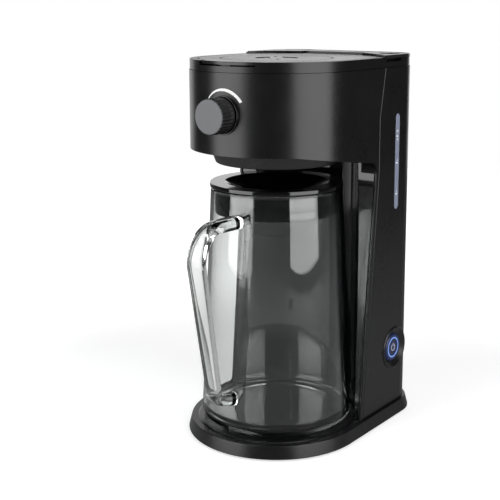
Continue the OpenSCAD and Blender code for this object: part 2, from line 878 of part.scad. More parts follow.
module tank_lid() {
    color(black) place() difference() {
        union() {
            translate([0, 0, tank_lid_under]) linear_extrude(tank_lid_t - 0.7) tank_cover(0);
            translate([0, 0, tank_lid_under]) linear_extrude(tank_lid_t) tank_cover(0.6);
            tank_hinge_axis() bar_x(tank_hinge_r, -tank_hinge_half, tank_hinge_half);
        }
        tank_hinge_axis() barrel_gaps(tank_ear_x, tank_hinge_r + 0.5);
        tank_hinge_axis() bar_x(tank_pin_r + running, -tank_hinge_half - past, tank_hinge_half + past);
        translate([body_r - 16.5, riser_y + 10, tank_lid_top - 0.8]) cylinder(r = 10, h = past);
    }
}

// Tank lid in plan, from the arc back to its hinge axis
module tank_cover(inset) {
    reach = tank_hinge_half + 0.5 - inset;
    intersection() {
        behind_arc(tank_arc_r + inset, tank_lid_front + inset) body_plan(0.2 + inset);
        union() {
            translate([-reach, 40]) square([2 * reach, tank_hinge_y - 40]);
            translate([-base_w, 40]) square([2 * base_w, corner_lid_y - inset - 40]);
        }
    }
}

module tank_lid_pin() {
    color(silver) place() tank_hinge_axis() bar_x(tank_pin_r, -tank_hinge_half + 5, tank_hinge_half - 5);
}

// Brewing parts

module basket_holder() {
    w = bowl_wall;
    color(black) place() difference() {
        rotate_extrude() polygon([
            [9, bowl_low], [bowl_low_r - 2.4, bowl_low], [bowl_low_r - 0.7, bowl_low + 0.7],
            [bowl_low_r, bowl_low + 2.2], [bowl_mid_r, head_low], [basket_opening + 1, chamber_top - 10],
            [flange_r, chamber_top - 2.4], [flange_r, chamber_top],
            [basket_opening - 1, chamber_top], [basket_opening - 1.2, chamber_top - 8],
            [bowl_mid_r - w, head_low], [bowl_low_r - w, bowl_low + w + floor_fall], [9, bowl_low + w]]);
        for (a = post_angles) rotate(a) translate([post_ring, 0, chamber_top - 12])
            cylinder(r = screw_r, h = 20);
        for (a = post_angles) rotate(a) translate([post_ring, 0, chamber_top - 12])
            cylinder(r = screw_head_r + 0.3, h = 9.6);
        translate([0, valve_y, chamber_top - 16]) cylinder(r = port_r + port_wall + 0.3, h = 20);
        translate([0, -40, bypass_low]) bar_front(port_r + port_wall + 0.1, 30);
    }
}

module chamber_screws() {
    color(silver) place() for (a = post_angles) rotate(a) translate([post_ring, 0, chamber_top - 2.4])
        translate([0, 0, -1.8]) {
            cylinder(r = screw_head_r, h = 1.6);
            cylinder(r = screw_r - 0.5, h = 8);
        }
}

basket_low = bowl_low + bowl_wall + floor_fall;
basket_top = chamber_top - 2;

module brew_basket() {
    low_r = bowl_low_r - bowl_wall - 2.4;
    rib_n = 12;
    color(black) place() difference() {
        union() {
            rotate_extrude() polygon([
                [0, basket_low + 1], [low_r, basket_low + 1], [basket_r - 2, basket_top - 3],
                [basket_r, basket_top - 3], [basket_r, basket_top], [basket_r - 3, basket_top],
                [low_r - thin_wall, basket_low + 1 + thin_wall], [0, basket_low + 1 + thin_wall]]);
            for (i = [0:rib_n - 1]) rotate(i * 360 / rib_n) translate([20, -0.8, basket_low])
                cube([low_r - 22, 1.6, 1.4]);
        }
        for (ring = [[0, 1], [9, 6], [17, 10]])
            for (i = [0:ring[1] - 1]) rotate(i * 360 / ring[1]) translate([ring[0], 0, basket_low - past])
                cylinder(r = 1.6, h = 6, $fn = 24);
    }
}

module filter_mesh() {
    low = basket_low + 1 + thin_wall + 0.2;
    top = basket_top - 12;
    low_r = bowl_low_r - bowl_wall - 2.4 - thin_wall - 0.8;
    top_r = basket_r - 5;
    window_n = 16;
    window_z = low + 8;
    color(silver) place() difference() {
        rotate_extrude() polygon([
            [0, low], [low_r, low], [top_r, top], [top_r - 1, top], [low_r - 1, low + 1], [0, low + 1]]);
        for (i = [0:window_n - 1]) rotate(i * 360 / window_n)
            translate([low_r - 10, -4, window_z]) cube([30, 8, top - 8 - window_z]);
        for (ring = [[16, 8], [32, 16]])
            for (i = [0:ring[1] - 1]) rotate(i * 360 / ring[1]) translate([ring[0], 0, low - past])
                cylinder(r = 3, h = 4, $fn = 24);
    }
}

// Strength control on an axis that points to the front

collar_front = -body_r - 1.6;
collar_back = -body_r + 5.4;
knob_back = collar_front - 0.4;

module on_knob_axis(y) {
    translate([0, y, knob_z]) children();
}

module strength_knob() {
    skirt = 3;
    color(grey) place() difference() {
        union() {
            on_knob_axis(knob_back) bar_front(knob_r, knob_len - 1);
            on_knob_axis(knob_back - knob_len + 1)
                rotate([90, 0, 0]) cylinder(r1 = knob_r, r2 = knob_r - 1, h = 1);
        }
        for (i = [0:knob_flutes - 1]) on_knob_axis(knob_back - skirt)
            rotate([0, i * 360 / knob_flutes, 0]) translate([knob_r + flute_r * 0.3, 0, 0])
                bar_front(flute_r, knob_len);
        on_knob_axis(knob_back + past) bar_front(knob_r - 2, past + 9);
        on_knob_axis(knob_back) bar_front(spindle_r + running, 14);
    }
    color(grey) place() difference() {
        on_knob_axis(knob_back) bar_front(spindle_r + 2.4, 10);
        on_knob_axis(knob_back + past) bar_front(spindle_r + running, 15);
    }
}

valve_back = -basket_opening - 3.4;
valve_front = collar_back + 0.2;
valve_y = valve_back - 3.2;
port_r = 1.5;
port_wall = 1.4;
// Height at which the valve's outlet enters the basket holder
bypass_low = knob_z - 13;

module knob_spindle() {
    color(white) place() difference() {
        union() {
            on_knob_axis(valve_y) bar_front(spindle_r, valve_y - knob_back + 13);
            on_knob_axis(valve_back - 0.8) bar_front(plug_r, valve_back - 0.8 - valve_front - touch);
        }
        translate([0, valve_y, knob_z - 10]) cylinder(r = port_r, h = 20);
    }
}

module knob_collar() {
    color(gloss_black) place() difference() {
        on_knob_axis(collar_back) bar_front(collar_r, collar_back - collar_front);
        on_knob_axis(collar_back + past) bar_front(spindle_r + running, 20);
        on_knob_axis(collar_front + 0.8) bar_front(knob_r + 0.4, 5);
    }
}

// Plug valve that lets a share of the water past the basket
module strength_valve() {
    pipe_r = port_r + port_wall;
    top = channel_floor - 0.4;
    color(white) place() difference() {
        union() {
            on_knob_axis(valve_back) bar_front(plug_r + 2.4, valve_back - valve_front);
            translate([0, valve_y, bypass_low]) cylinder(r = pipe_r, h = top - bypass_low);
            translate([0, valve_y, bypass_low]) sphere(pipe_r);
            translate([0, -bowl_mid_r + bowl_wall - 0.8, bypass_low])
                bar_front(pipe_r, -valve_y - bowl_mid_r + bowl_wall - 0.8);
        }
        on_knob_axis(valve_back - 0.6) bar_front(plug_r + running, valve_back - valve_front + past);
        translate([0, valve_y, bypass_low]) cylinder(r = port_r, h = top - bypass_low + past);
        translate([0, valve_y, bypass_low]) rotate([-90, 0, 0]) cylinder(r = port_r, h = 20);
    }
}

// Water path

tank_top = head_top - 0.4;
tank_front = bay_r + panel_t + 1.6;
outlet = [heater_bend, riser_y - 4.5];
heater_leg = 6.5;
heater_y = outlet[1] + heater_leg;
inlet_top = heater_z + 24;
tank_gap = 0.8;

module tank_section(inset) {
    difference() {
        body_plan(shell_wall + tank_gap + inset);
        circle(tank_front + inset);
        translate([-base_w, -base_w]) square([2 * base_w, base_w + 57 + inset]);
        translate([0, riser_y]) circle(hose_r + 1.2 + inset);
        translate([-hose_r - 1.2 - inset, 0]) square([2 * (hose_r + 1.2 + inset), riser_y]);
    }
}

module water_tank() {
    color(smoke) place() difference() {
        union() {
            difference() {
                translate([0, 0, tank_low]) linear_extrude(tank_top - tank_low) tank_section(0);
                translate([0, 0, tank_low + tank_wall]) linear_extrude(tank_top) tank_section(tank_wall);
            }
            translate([outlet[0], outlet[1], tank_low - 12]) cylinder(r = spigot_r, h = 13);
        }
        translate([outlet[0], outlet[1], tank_low - 13]) cylinder(r = water_bore, h = 20);
        // Flat on the side that clears the window's back plate
        translate([body_r - shell_wall - 2, window_y - window_w / 2 - 2.4, window_low - 2.4])
            cube([5, window_w + 4.8, window_high - window_low + 4.8]);
    }
}

module tube(x, y, z0, z1, r_out, r_in) {
    translate([x, y, z0]) difference() {
        cylinder(r = r_out, h = z1 - z0);
        translate([0, 0, -past]) cylinder(r = r_in, h = z1 - z0 + 2 * past);
    }
}

valve_low = 92;
valve_len = 26;

module cold_hose() {
    color(silicone) place() {
        tube(outlet[0], outlet[1], inlet_top - 9, valve_low + 8, hose_r, spigot_r + 0.1);
        tube(outlet[0], outlet[1], valve_low + valve_len - 8, tank_low - 0.3, hose_r, spigot_r + 0.1);
    }
}

ball_r = 2.6;
ball_lift = 2;

module check_valve() {
    mid = valve_low + valve_len / 2;
    color(white) place() translate([outlet[0], outlet[1], 0]) difference() {
        union() {
            translate([0, 0, valve_low]) cylinder(r = spigot_r, h = valve_len);
            translate([0, 0, valve_low + 8.2]) cylinder(r = hose_r + 1, h = valve_len - 16.4);
        }
        translate([0, 0, valve_low - past]) cylinder(r = 1.6, h = valve_len + 2 * past);
        translate([0, 0, mid - ball_r]) cylinder(r = ball_r + 0.4, h = 2 * ball_r + ball_lift + 0.3);
    }
}

module check_ball() {
    color(silver) place() translate([outlet[0], outlet[1], valve_low + valve_len / 2 + 0.1]) sphere(ball_r);
}

module heater_profile() {
    difference() {
        union() {
            circle(heater_tube_r);
            translate([0, heater_tube_r + heater_rod_r - 1]) circle(heater_rod_r);
            translate([-2, 0]) square([4, heater_tube_r + heater_rod_r - 1]);
        }
        circle(water_bore + 0.4);
    }
}

module heater() {
    color(silver) place() difference() {
        union() {
            translate([0, heater_y, heater_z]) rotate_extrude(angle = 180)
                translate([heater_bend, 0]) heater_profile();
            for (s = [-1, 1]) translate([s * heater_bend, outlet[1], heater_z]) {
                translate([0, 0, -heater_tube_r - 1]) cylinder(r = heater_tube_r + 0.6, h = 2 * heater_tube_r + 2);
                cylinder(r = spigot_r, h = inlet_top - heater_z);
                rotate([-90, 0, 0]) cylinder(r = heater_tube_r, h = heater_leg);
                translate([-2, heater_leg + 1, heater_tube_r + heater_rod_r]) cube([4, 0.8, 10]);
            }
        }
        for (s = [-1, 1]) translate([s * heater_bend, outlet[1], heater_z]) {
            rotate([-90, 0, 0]) cylinder(r = water_bore + 0.4, h = heater_leg + 0.2);
            cylinder(r = water_bore, h = inlet_top - heater_z + past);
        }
    }
}

module heater_bracket() {
    top = heater_z - heater_tube_r - touch;
    color(silver) place() for (a = [35, 145]) {
        p = [heater_bend * cos(a), heater_y + heater_bend * sin(a)];
        translate([p[0] - 5, p[1] - 5, base_h + touch]) cube([10, 10, 1.5]);
        translate([p[0] - 5, p[1] - 0.75, base_h + touch]) cube([10, 1.5, top - base_h - touch]);
    }
}

rod_top = heater_z + heater_tube_r + 2 * heater_rod_r - 1;

module thermostat() {
    color(silver) place() translate([0, heater_y + heater_bend, rod_top + touch]) {
        cylinder(r = 8, h = 6);
        translate([-12, -3, 0]) cube([24, 6, 1]);
        for (s = [-1, 1]) translate([s * 5 - 2, -0.4, 5]) cube([4, 0.8, 8]);
    }
}

module thermal_fuse() {
    a = 135;
    color(white) place() translate([heater_bend * cos(a), heater_y + heater_bend * sin(a), rod_top + 2.2 + touch])
        rotate([0, 90, a + 90]) cylinder(r = 2.2, h = 12, center = true);
}

// A tube along a path of points, with round elbows that stand a little proud of it
module run(points, r, knuckle) {
    for (i = [0:len(points) - 2]) {
        a = points[i];
        d = points[i + 1] - a;
        translate(a) rotate([0, acos(d[2] / norm(d)), atan2(d[1], d[0])]) cylinder(r = r, h = norm(d));
    }
    for (i = [1:len(points) - 2]) translate(points[i]) sphere(r + knuckle);
}

module hot_riser() {
    low = inlet_top - 9;
    path = [[-outlet[0], outlet[1], low], [-outlet[0], outlet[1], inlet_top + 6],
            [0, riser_y, tank_low - 36], [0, riser_y, channel_floor - touch - seal_h - 0.1]];
    color(silicone) place() difference() {
        run(path, hose_r - 0.6, 0.5);
        run([path[0] - [0, 0, past], path[1], path[2], path[3] + [0, 0, past]], water_bore, 0.3);
        translate(path[0] - [0, 0, past]) cylinder(r = spigot_r + 0.1, h = inlet_top - low + past + 0.3);
    }
}

// Power button on the side

module on_button_axis(x) {
    translate([x, button_y, button_z]) children();
}

bezel_depth = 1.1;

module button_bezel() {
    color(black) place() on_button_axis(body_r) rotate([0, 90, 0]) rotate_extrude() polygon([
        [button_r + 0.4, -7], [bezel_r - 2.7, -7], [bezel_r - 2.7, 0.05], [bezel_r, 0.05],
        [bezel_r, 0.5], [bezel_r - 1, bezel_depth], [bezel_r - 2.2, bezel_depth],
        [button_r + 1.2, -1.4], [button_r + 0.4, -1.8]]);
}

button_face = body_r - 0.6;
ring_in = 8.8;
ring_out = 10.8;

module power_button() {
    color(gloss_black) place() on_button_axis(button_face) rotate([0, 90, 0]) difference() {
        rotate_extrude() polygon([
            [0, -7], [button_r - 1.6, -7], [button_r - 1.6, -4], [button_r, -4], [button_r, -0.8],
            [button_r - 0.8, 0], [0, 0]]);
        translate([0, 0, -1.2]) difference() {
            cylinder(r = ring_out, h = 3);
            translate([0, 0, -past]) cylinder(r = ring_in, h = 6);
        }
    }
}

module light_ring() {
    color("#3f8cf0") place() on_button_axis(button_face) rotate([0, 90, 0]) translate([0, 0, -1.1]) difference() {
        cylinder(r = ring_out - 0.1, h = 1.2);
        translate([0, 0, -past]) cylinder(r = ring_in + 0.1, h = 4);
    }
}

// Switch with a cup that clips to the back of the bezel
module switch_body() {
    depth = 14;
    back = button_face - 7 - button_travel - 0.5;
    cup_r = bezel_r - 2.7;
    rim = body_r - 7 - touch - back;
    color(white) place() on_button_axis(back) {
        translate([-depth, -9, -9]) cube([depth, 18, 18]);
        for (s = [-1, 1]) translate([-depth - 6, s * 5 - 0.4, -2.4]) cube([7, 0.8, 4.8]);
        rotate([0, 90, 0]) difference() {
            translate([0, 0, -2]) cylinder(r = cup_r, h = rim + 2);
            cylinder(r = cup_r - 2.4, h = rim + past);
        }
    }
}

// Jug

function jug_outer(z) = jug_rim_r + (jug_wide_r - jug_rim_r) * (jug_rim - z) / (jug_h - 14);

module jug_glass() {
    w = glass_wall;
    foot_in = 57;
    foot_round = 8.5;
    color(clear) place() difference() {
        union() {
            rotate_extrude() polygon(concat(
                [[0, jug_foot + 1.2], [foot_in, jug_foot + 1.2], [foot_in + 3, jug_foot]],
                arc_points([jug_wide_r - foot_round, jug_foot + foot_round], foot_round, -90, 0, 10),
                [[jug_wide_r, jug_foot + 14], [jug_rim_r, jug_rim - 3],
                 [jug_rim_r, jug_rim - 1], [jug_rim_r - 1, jug_rim], [0, jug_rim]]));
            handle();
        }
        rotate_extrude() polygon(concat(
            [[0, jug_foot + glass_floor + 1.2], [50, jug_foot + glass_floor]],
            arc_points([61, jug_foot + glass_floor + 8], 8, -90, 0, 8),
            [[jug_rim_r - w, jug_rim - 3], [jug_rim_r - w, jug_rim + past], [0, jug_rim + past]]));
    }
}

// Strap handle in the plane through the jug's axis, facing the front
module handle() {
    // Corner points run from the jug's wall up, out, down and back in
    top_in = [-50, handle_top];
    top_out = [-handle_reach, handle_top];
    low_out = [-handle_low_reach, handle_low + 8];
    low_in = [-50, handle_low - 6];
    inner_drop = strap_t + 1;
    inner = [[-50, handle_top - strap_t - 2.5], [-handle_reach + strap_t, handle_top - inner_drop],
             [-handle_low_reach + strap_t - 3, handle_low + inner_drop + 6],
             [-50, handle_low + strap_t + 2]];
    across(handle_w) difference() {
        polygon(concat([top_in], rounded(top_in, top_out, low_out, handle_bend),
            rounded(top_out, low_out, low_in, 16), [low_in]));
        polygon(concat([inner[0]], rounded(inner[0], inner[1], inner[2], handle_bend - 7),
            rounded(inner[1], inner[2], inner[3], 10), [inner[3]]));
    }
}

funnel_r = 49;
funnel_low = 12;
skirt_r = jug_rim_r - glass_wall - neck_gap;

module jug_lid() {
    top = lid_flange_top;
    floor_z = top - funnel_low;
    color(gloss_black) place() difference() {
        rotate_extrude() polygon([
            [0, floor_z + 2.4], [8, floor_z + 2], [11, floor_z], [22, floor_z], [funnel_r - 3, top - 1.4],
            [funnel_r, top], [jug_rim_r + 0.2, top], [jug_rim_r + 0.8, top - 0.6],
            [jug_rim_r + 0.8, jug_rim + seam], [skirt_r, jug_rim + seam],
            [skirt_r, jug_rim - skirt_h + 12], [skirt_r - 1.4, jug_rim - skirt_h + 12],
            [skirt_r - 1.4, jug_rim - skirt_h + 9], [skirt_r, jug_rim - skirt_h + 9],
            [skirt_r, jug_rim - skirt_h], [skirt_r - 2.4, jug_rim - skirt_h],
            [skirt_r - 2.4, jug_rim - 2], [funnel_r + 1, top - 3], [22.4, floor_z - 2], [0, floor_z - 2]]);
        for (i = [0:7]) rotate(i * 45 + 22.5) translate([16.5, 0, floor_z - 5]) rotate(90)
            steam_slot(8, 3.4, 10);
    }
}

module lid_seal() {
    color(silicone) place() rotate_extrude() polygon([
        [skirt_r - 1.2, jug_rim - skirt_h + 9.2], [skirt_r + neck_gap - seam, jug_rim - skirt_h + 9.6],
        [skirt_r + neck_gap - seam, jug_rim - skirt_h + 11.4], [skirt_r - 1.2, jug_rim - skirt_h + 11.8]]);
}

base_shell();
base_plate();
stand_plate();
feet();
base_screws();
housing_screws();
front_housing();
rear_housing();
column_panel();
top_frame();
level_window();
cord_gland();
brew_lid();
brew_lid_pin();
spray_head();
spout_seal();
tank_lid();
tank_lid_pin();
basket_holder();
chamber_screws();
brew_basket();
filter_mesh();
strength_knob();
knob_spindle();
knob_collar();
strength_valve();
water_tank();
cold_hose();
check_valve();
check_ball();
hot_riser();
heater();
heater_bracket();
thermostat();
thermal_fuse();
button_bezel();
power_button();
light_ring();
switch_body();
jug_glass();
jug_lid();
lid_seal();
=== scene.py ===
"""Dresses the packed iced tea maker: housings, lids, knob, button, brewing parts and glass jug.

Lengths are written in millimetres about the jug's axis, as in the part's source, and become
metres in the shared frame when a mesh is made. X runs across, -Y is the front, Z is up.
"""

from __future__ import annotations

import logging
import math
from dataclasses import dataclass
from enum import Enum
from functools import lru_cache
from typing import Iterable, Sequence

import bmesh
import bpy
from mathutils import Matrix, Vector


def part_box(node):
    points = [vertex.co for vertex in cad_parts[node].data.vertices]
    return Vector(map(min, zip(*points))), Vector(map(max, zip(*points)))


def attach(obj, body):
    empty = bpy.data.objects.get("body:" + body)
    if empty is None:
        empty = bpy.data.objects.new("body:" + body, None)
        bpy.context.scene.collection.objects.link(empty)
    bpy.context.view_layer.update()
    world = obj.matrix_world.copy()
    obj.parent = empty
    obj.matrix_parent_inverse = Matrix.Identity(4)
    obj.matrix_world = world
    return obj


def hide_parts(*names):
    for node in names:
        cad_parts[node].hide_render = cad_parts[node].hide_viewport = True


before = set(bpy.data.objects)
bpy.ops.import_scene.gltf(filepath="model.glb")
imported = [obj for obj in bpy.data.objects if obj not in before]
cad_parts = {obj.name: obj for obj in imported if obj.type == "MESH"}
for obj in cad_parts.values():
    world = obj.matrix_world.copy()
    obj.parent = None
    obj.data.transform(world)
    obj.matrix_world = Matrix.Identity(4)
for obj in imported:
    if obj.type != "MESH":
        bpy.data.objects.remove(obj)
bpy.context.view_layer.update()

LOG = logging.getLogger("iced_tea_maker")
MM = 0.001
Flat = tuple[float, float]
Place = tuple[float, float, float]
Piece = bpy.types.Object
Tree = bpy.types.NodeTree
Node = bpy.types.Node
Socket = bpy.types.NodeSocket
Material = bpy.types.Material
Inputs = dict[str | int, object]


class Body(str, Enum):
    """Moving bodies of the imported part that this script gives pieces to."""

    MACHINE = "machine"
    BREW_FLAP = "brew_flap"
    TANK_FLAP = "tank_flap"
    KNOB = "knob"
    BUTTON = "button"
    JUG = "jug"
    JUG_COVER = "jug_cover"


class Slot(str, Enum):
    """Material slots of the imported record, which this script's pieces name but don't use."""

    SATIN_BLACK = "satin_black"
    LID_BLACK = "lid_black"
    GLOSS_BLACK = "gloss_black"
    KNOB_GREY = "knob_grey"
    WHITE_PLASTIC = "white_plastic"
    JUG_CLEAR = "jug_clear"
    CLEAR_PLASTIC = "clear_plastic"
    STEEL = "steel"
    SILICONE = "silicone"
    FOOT_RUBBER = "foot_rubber"
    RING_LIGHT = "ring_light"


def jug_axis_y() -> float:
    """Y of the jug's axis in the shared frame, in millimetres."""
    low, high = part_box("jug_lid")
    return (low.y + high.y) / 2 / MM


AXIS_Y = jug_axis_y()


# Node helpers


def linear(code: str) -> tuple[float, float, float, float]:
    """Turns an sRGB hex colour into Blender's linear one.

    Args:
        code: Colour such as "#1a2b3c".

    Returns:
        Linear red, green, blue and an alpha of 1.
    """
    parts = [int(code[i : i + 2], 16) / 255 for i in (1, 3, 5)]
    red, green, blue = (c / 12.92 if c <= 0.04045 else ((c + 0.055) / 1.055) ** 2.4 for c in parts)
    return red, green, blue, 1.0


def add_node(tree: Tree, kind: str, inputs: Inputs | None = None, **settings: object) -> Node:
    """Adds a node with its settings and links.

    Args:
        tree: Node tree that the node goes into.
        kind: Blender's type name of the node.
        inputs: Value or output socket for each named or numbered input.
        **settings: Properties of the node.

    Returns:
        The new node.
    """
    node = tree.nodes.new(kind)
    for name, value in settings.items():
        setattr(node, name, value)
    for name, value in (inputs or {}).items():
        if isinstance(value, Socket):
            tree.links.new(value, node.inputs[name])
        else:
            node.inputs[name].default_value = value
    return node


def maths(tree: Tree, operation: str, *values: Socket | float) -> Socket:
    """Adds a Math node.

    Args:
        tree: Node tree that it goes into.
        operation: What it does with its inputs.
        *values: Its inputs in order.

    Returns:
        Its result.
    """
    return add_node(tree, "ShaderNodeMath", dict(enumerate(values)), operation=operation).outputs[0]


def grain(tree: Tree, where: Socket, size_mm: float, detail: float = 2.0) -> Socket:
    """Noise whose grains have a real size.

    Args:
        tree: Node tree that it goes into.
        where: Coordinates in metres.
        size_mm: Width of a grain.
        detail: Octaves of finer noise.

    Returns:
        The noise from 0 to 1.
    """
    inputs = {"Vector": where, "Scale": 1 / (size_mm * MM), "Detail": detail}
    return add_node(tree, "ShaderNodeTexNoise", inputs).outputs[0]


def spread(tree: Tree, value: Socket, low: float, high: float) -> Socket:
    """Maps the middle of a noise onto a range.

    Args:
        tree: Node tree that it goes into.
        value: Noise from 0 to 1.
        low: Result at the noise's low end.
        high: Result at the noise's high end.

    Returns:
        The mapped value.
    """
    inputs = {"Value": value, "From Min": 0.3, "From Max": 0.7, "To Min": low, "To Max": high}
    return add_node(tree, "ShaderNodeMapRange", inputs).outputs[0]


def bump(tree: Tree, height: Socket, depth_mm: float) -> Socket:
    """Normal of a surface that a pattern raises by a real depth.

    Args:
        tree: Node tree that it goes into.
        height: Pattern from 0 to 1.
        depth_mm: Height of the pattern.

    Returns:
        The normal.
    """
    inputs = {"Height": height, "Distance": depth_mm * MM, "Strength": 1.0}
    return add_node(tree, "ShaderNodeBump", inputs).outputs[0]


def blend(tree: Tree, share: Socket, one: Sequence[float], two: Sequence[float]) -> Socket:
    """Mixes two linear colours.

    Args:
        tree: Node tree that it goes into.
        share: 0 for the first colour and 1 for the second.
        one: The first colour.
        two: The second colour.

    Returns:
        The mixed colour.
    """
    return add_node(tree, "ShaderNodeMix", {0: share, 6: one, 7: two}, data_type="RGBA").outputs[2]


def new_material(name: str) -> tuple[Material, Tree, Socket]:
    """Starts an empty node material.

    Args:
        name: Name of the material.

    Returns:
        The material, its node tree and the Object coordinates to build patterns on.
    """
    material = bpy.data.materials.new(name)
    material.use_nodes = True
    tree = material.node_tree
    tree.nodes.clear()
    where = add_node(tree, "ShaderNodeTexCoord").outputs["Object"]
    return material, tree, where


# Finishes


@dataclass(frozen=True)
class Finish:
    """A real material and the way it was worked."""

    name: str
    colour: str

    def surface(self, tree: Tree, where: Socket) -> Socket:
        """Builds the shader, which each kind of finish does in its own way.

        Args:
            tree: Node tree that it goes into.
            where: Object coordinates.

        Returns:
            The shader.
        """
        raise NotImplementedError

    def material(self) -> Material:
        """Builds the node material."""
        material, tree, where = new_material(self.name)
        add_node(tree, "ShaderNodeOutputMaterial", {"Surface": self.surface(tree, where)})
        return material


@dataclass(frozen=True)
class MouldedPlastic(Finish):
    """Injection moulded plastic with the grain of its mould.

    The grain breaks up the edge of each reflection, and slow changes of gloss and colour
    keep a wide face from looking flat.
    """

    roughness: float
    grain_mm: float
    grain_depth_mm: float
    unevenness: float = 0.03
    coat: float = 0.0

    def surface(self, tree: Tree, where: Socket) -> Socket:
        """Builds a grained shader whose gloss changes slowly."""
        slow = grain(tree, where, 38.0, 3.0)
        base = linear(self.colour)
        paler = tuple(min(1.0, c * 1.18 + 0.0006) for c in base[:3]) + (1.0,)
        smoothest, roughest = self.roughness - self.unevenness, self.roughness + self.unevenness
        inputs = {
            "Base Color": blend(tree, spread(tree, slow, 0.0, 1.0), base, paler),
            "Roughness": spread(tree, slow, smoothest, roughest),
            "Coat Weight": self.coat,
            "Coat Roughness": 0.05,
            "Normal": bump(tree, grain(tree, where, self.grain_mm), self.grain_depth_mm),
        }
        return add_node(tree, "ShaderNodeBsdfPrincipled", inputs).outputs[0]


@dataclass(frozen=True)
class ClearWall(Finish):
    """Clear glass or clear plastic, with the faint waves that pressing leaves in it.

    The waves bend the bands that it reflects. Rays to lamps go through it, so that what it
    holds stays lit.
    """

    ior: float
    roughness: float
    wave_mm: float
    wave_depth_mm: float
    lets_lamps: str = "#eef2f2"
    milk: float = 0.0

    def surface(self, tree: Tree, where: Socket) -> Socket:
        """Builds a refracting shader, clear to shadow rays."""
        inputs = {
            "Base Color": linear(self.colour),
            "Roughness": self.roughness,
            "IOR": self.ior,
            "Transmission Weight": 1.0 - self.milk,
            "Normal": bump(tree, grain(tree, where, self.wave_mm, 1.0), self.wave_depth_mm),
        }
        wall = add_node(tree, "ShaderNodeBsdfPrincipled", inputs).outputs[0]
        clear = add_node(tree, "ShaderNodeBsdfTransparent", {"Color": linear(self.lets_lamps)}).outputs[0]
        shadow = add_node(tree, "ShaderNodeLightPath").outputs["Is Shadow Ray"]
        return add_node(tree, "ShaderNodeMixShader", {0: shadow, 1: wall, 2: clear}).outputs[0]


@dataclass(frozen=True)
class BareMetal(Finish):
    """Rolled, drawn or turned metal, whose fine lines stretch its highlights."""

    roughness: float
    line_mm: float
    line_depth_mm: float
    stretch: Place = (1.0, 1.0, 1.0)

    def surface(self, tree: Tree, where: Socket) -> Socket:
        """Builds a metal shader whose lines also change its gloss."""
        along = add_node(tree, "ShaderNodeMapping", {"Vector": where, "Scale": self.stretch}).outputs[0]
        lines = grain(tree, along, self.line_mm)
        inputs = {
            "Base Color": linear(self.colour),
            "Metallic": 1.0,
            "Roughness": spread(tree, lines, self.roughness - 0.06, self.roughness + 0.08),
            "Normal": bump(tree, lines, self.line_depth_mm),
        }
        return add_node(tree, "ShaderNodeBsdfPrincipled", inputs).outputs[0]


@dataclass(frozen=True)
class LitPlastic(Finish):
    """Milky plastic with a lamp behind it, brighter in the middle of its clouds."""

    glow: str
    strength: float

    def surface(self, tree: Tree, where: Socket) -> Socket:
        """Builds a shader that glows unevenly."""
        cloud = grain(tree, where, 5.0)
        inputs = {
            "Base Color": linear(self.colour),
            "Roughness": 0.3,
            "Emission Color": linear(self.glow),
            "Emission Strength": spread(tree, cloud, self.strength * 0.85, self.strength * 1.15),
        }
        return add_node(tree, "ShaderNodeBsdfPrincipled", inputs).outputs[0]


# ABS, moulded in a finely spark-eroded mould: soft edged bands of light, no mirror
HOUSING_ABS = MouldedPlastic("abs_moulded_satin", "#0b0b0c", 0.29, 0.7, 0.004)
# The same ABS with a coarser grain, which makes the lids look greyer at a low angle
LID_ABS = MouldedPlastic("abs_moulded_lid_grain", "#161617", 0.24, 0.8, 0.006)
# ABS from a polished mould: sharp reflections with a slight orange peel
GLOSS_ABS = MouldedPlastic("abs_moulded_gloss", "#060607", 0.07, 9.0, 0.006, 0.02, 0.3)
# ABS from a half polished mould: the stand's field mirrors softly, without sharp shapes
PLATE_ABS = MouldedPlastic("abs_moulded_half_gloss", "#080809", 0.18, 4.0, 0.004, 0.02)
# Polypropylene for what touches hot tea: duller, a touch paler
BREW_PP = MouldedPlastic("polypropylene_moulded", "#19191a", 0.34, 0.9, 0.010)
# Black ABS grip with a fine even grain, which keeps the flutes' highlights soft
KNOB_ABS = MouldedPlastic("abs_moulded_black_grip", "#0d0d0e", 0.34, 0.6, 0.006)
# Grey painted ABS on the knob's face, with a fine sparkle of its flakes
KNOB_FACE = MouldedPlastic("abs_painted_grey", "#525356", 0.38, 0.5, 0.012, 0.05)
# White acetal and nylon inside the machine: a soft waxy white
WHITE_ACETAL = MouldedPlastic("acetal_moulded_white", "#e4e3de", 0.38, 1.2, 0.010)
# Pad printed ink: matt, with an uneven film
PAD_INK = MouldedPlastic("pad_print_white", "#f4f4f2", 0.5, 0.5, 0.004)
# Silicone rubber: pale, soft sheen
SILICONE_RUBBER = MouldedPlastic("silicone_moulded", "#cfcdc6", 0.55, 1.6, 0.02)
# Silicone from a polished mould: as deep a black as the skirt around it
GLOSS_SILICONE = MouldedPlastic("silicone_moulded_gloss", "#050506", 0.08, 2.0, 0.003)
# Black rubber feet: matt
FOOT_RUBBER = MouldedPlastic("rubber_moulded_black", "#242425", 0.75, 0.8, 0.03)
# Pressed soda-lime glass: nearly colourless, long soft waves
JUG_GLASS = ClearWall("soda_lime_glass_pressed", "#fbfdfc", 1.5, 0.0, 34.0, 0.12)
# Styrene acrylonitrile tank: clear with a smoke tint
CLEAR_SAN = ClearWall("san_moulded_clear", "#c9d4e0", 1.55, 0.06, 20.0, 0.05, "#c8ccd2")
# The same plastic with a frosted back, which makes the window a pale even strip
FROSTED_SAN = ClearWall("san_moulded_frosted", "#8c92a6", 1.55, 0.28, 12.0, 0.03, "#9aa0b0", 0.75)
# Zinc plated steel screws, pins and brackets: grey, with fine turning lines
PLATED_STEEL = BareMetal("steel_zinc_plated", "#b9bcc0", 0.32, 0.6, 0.004)
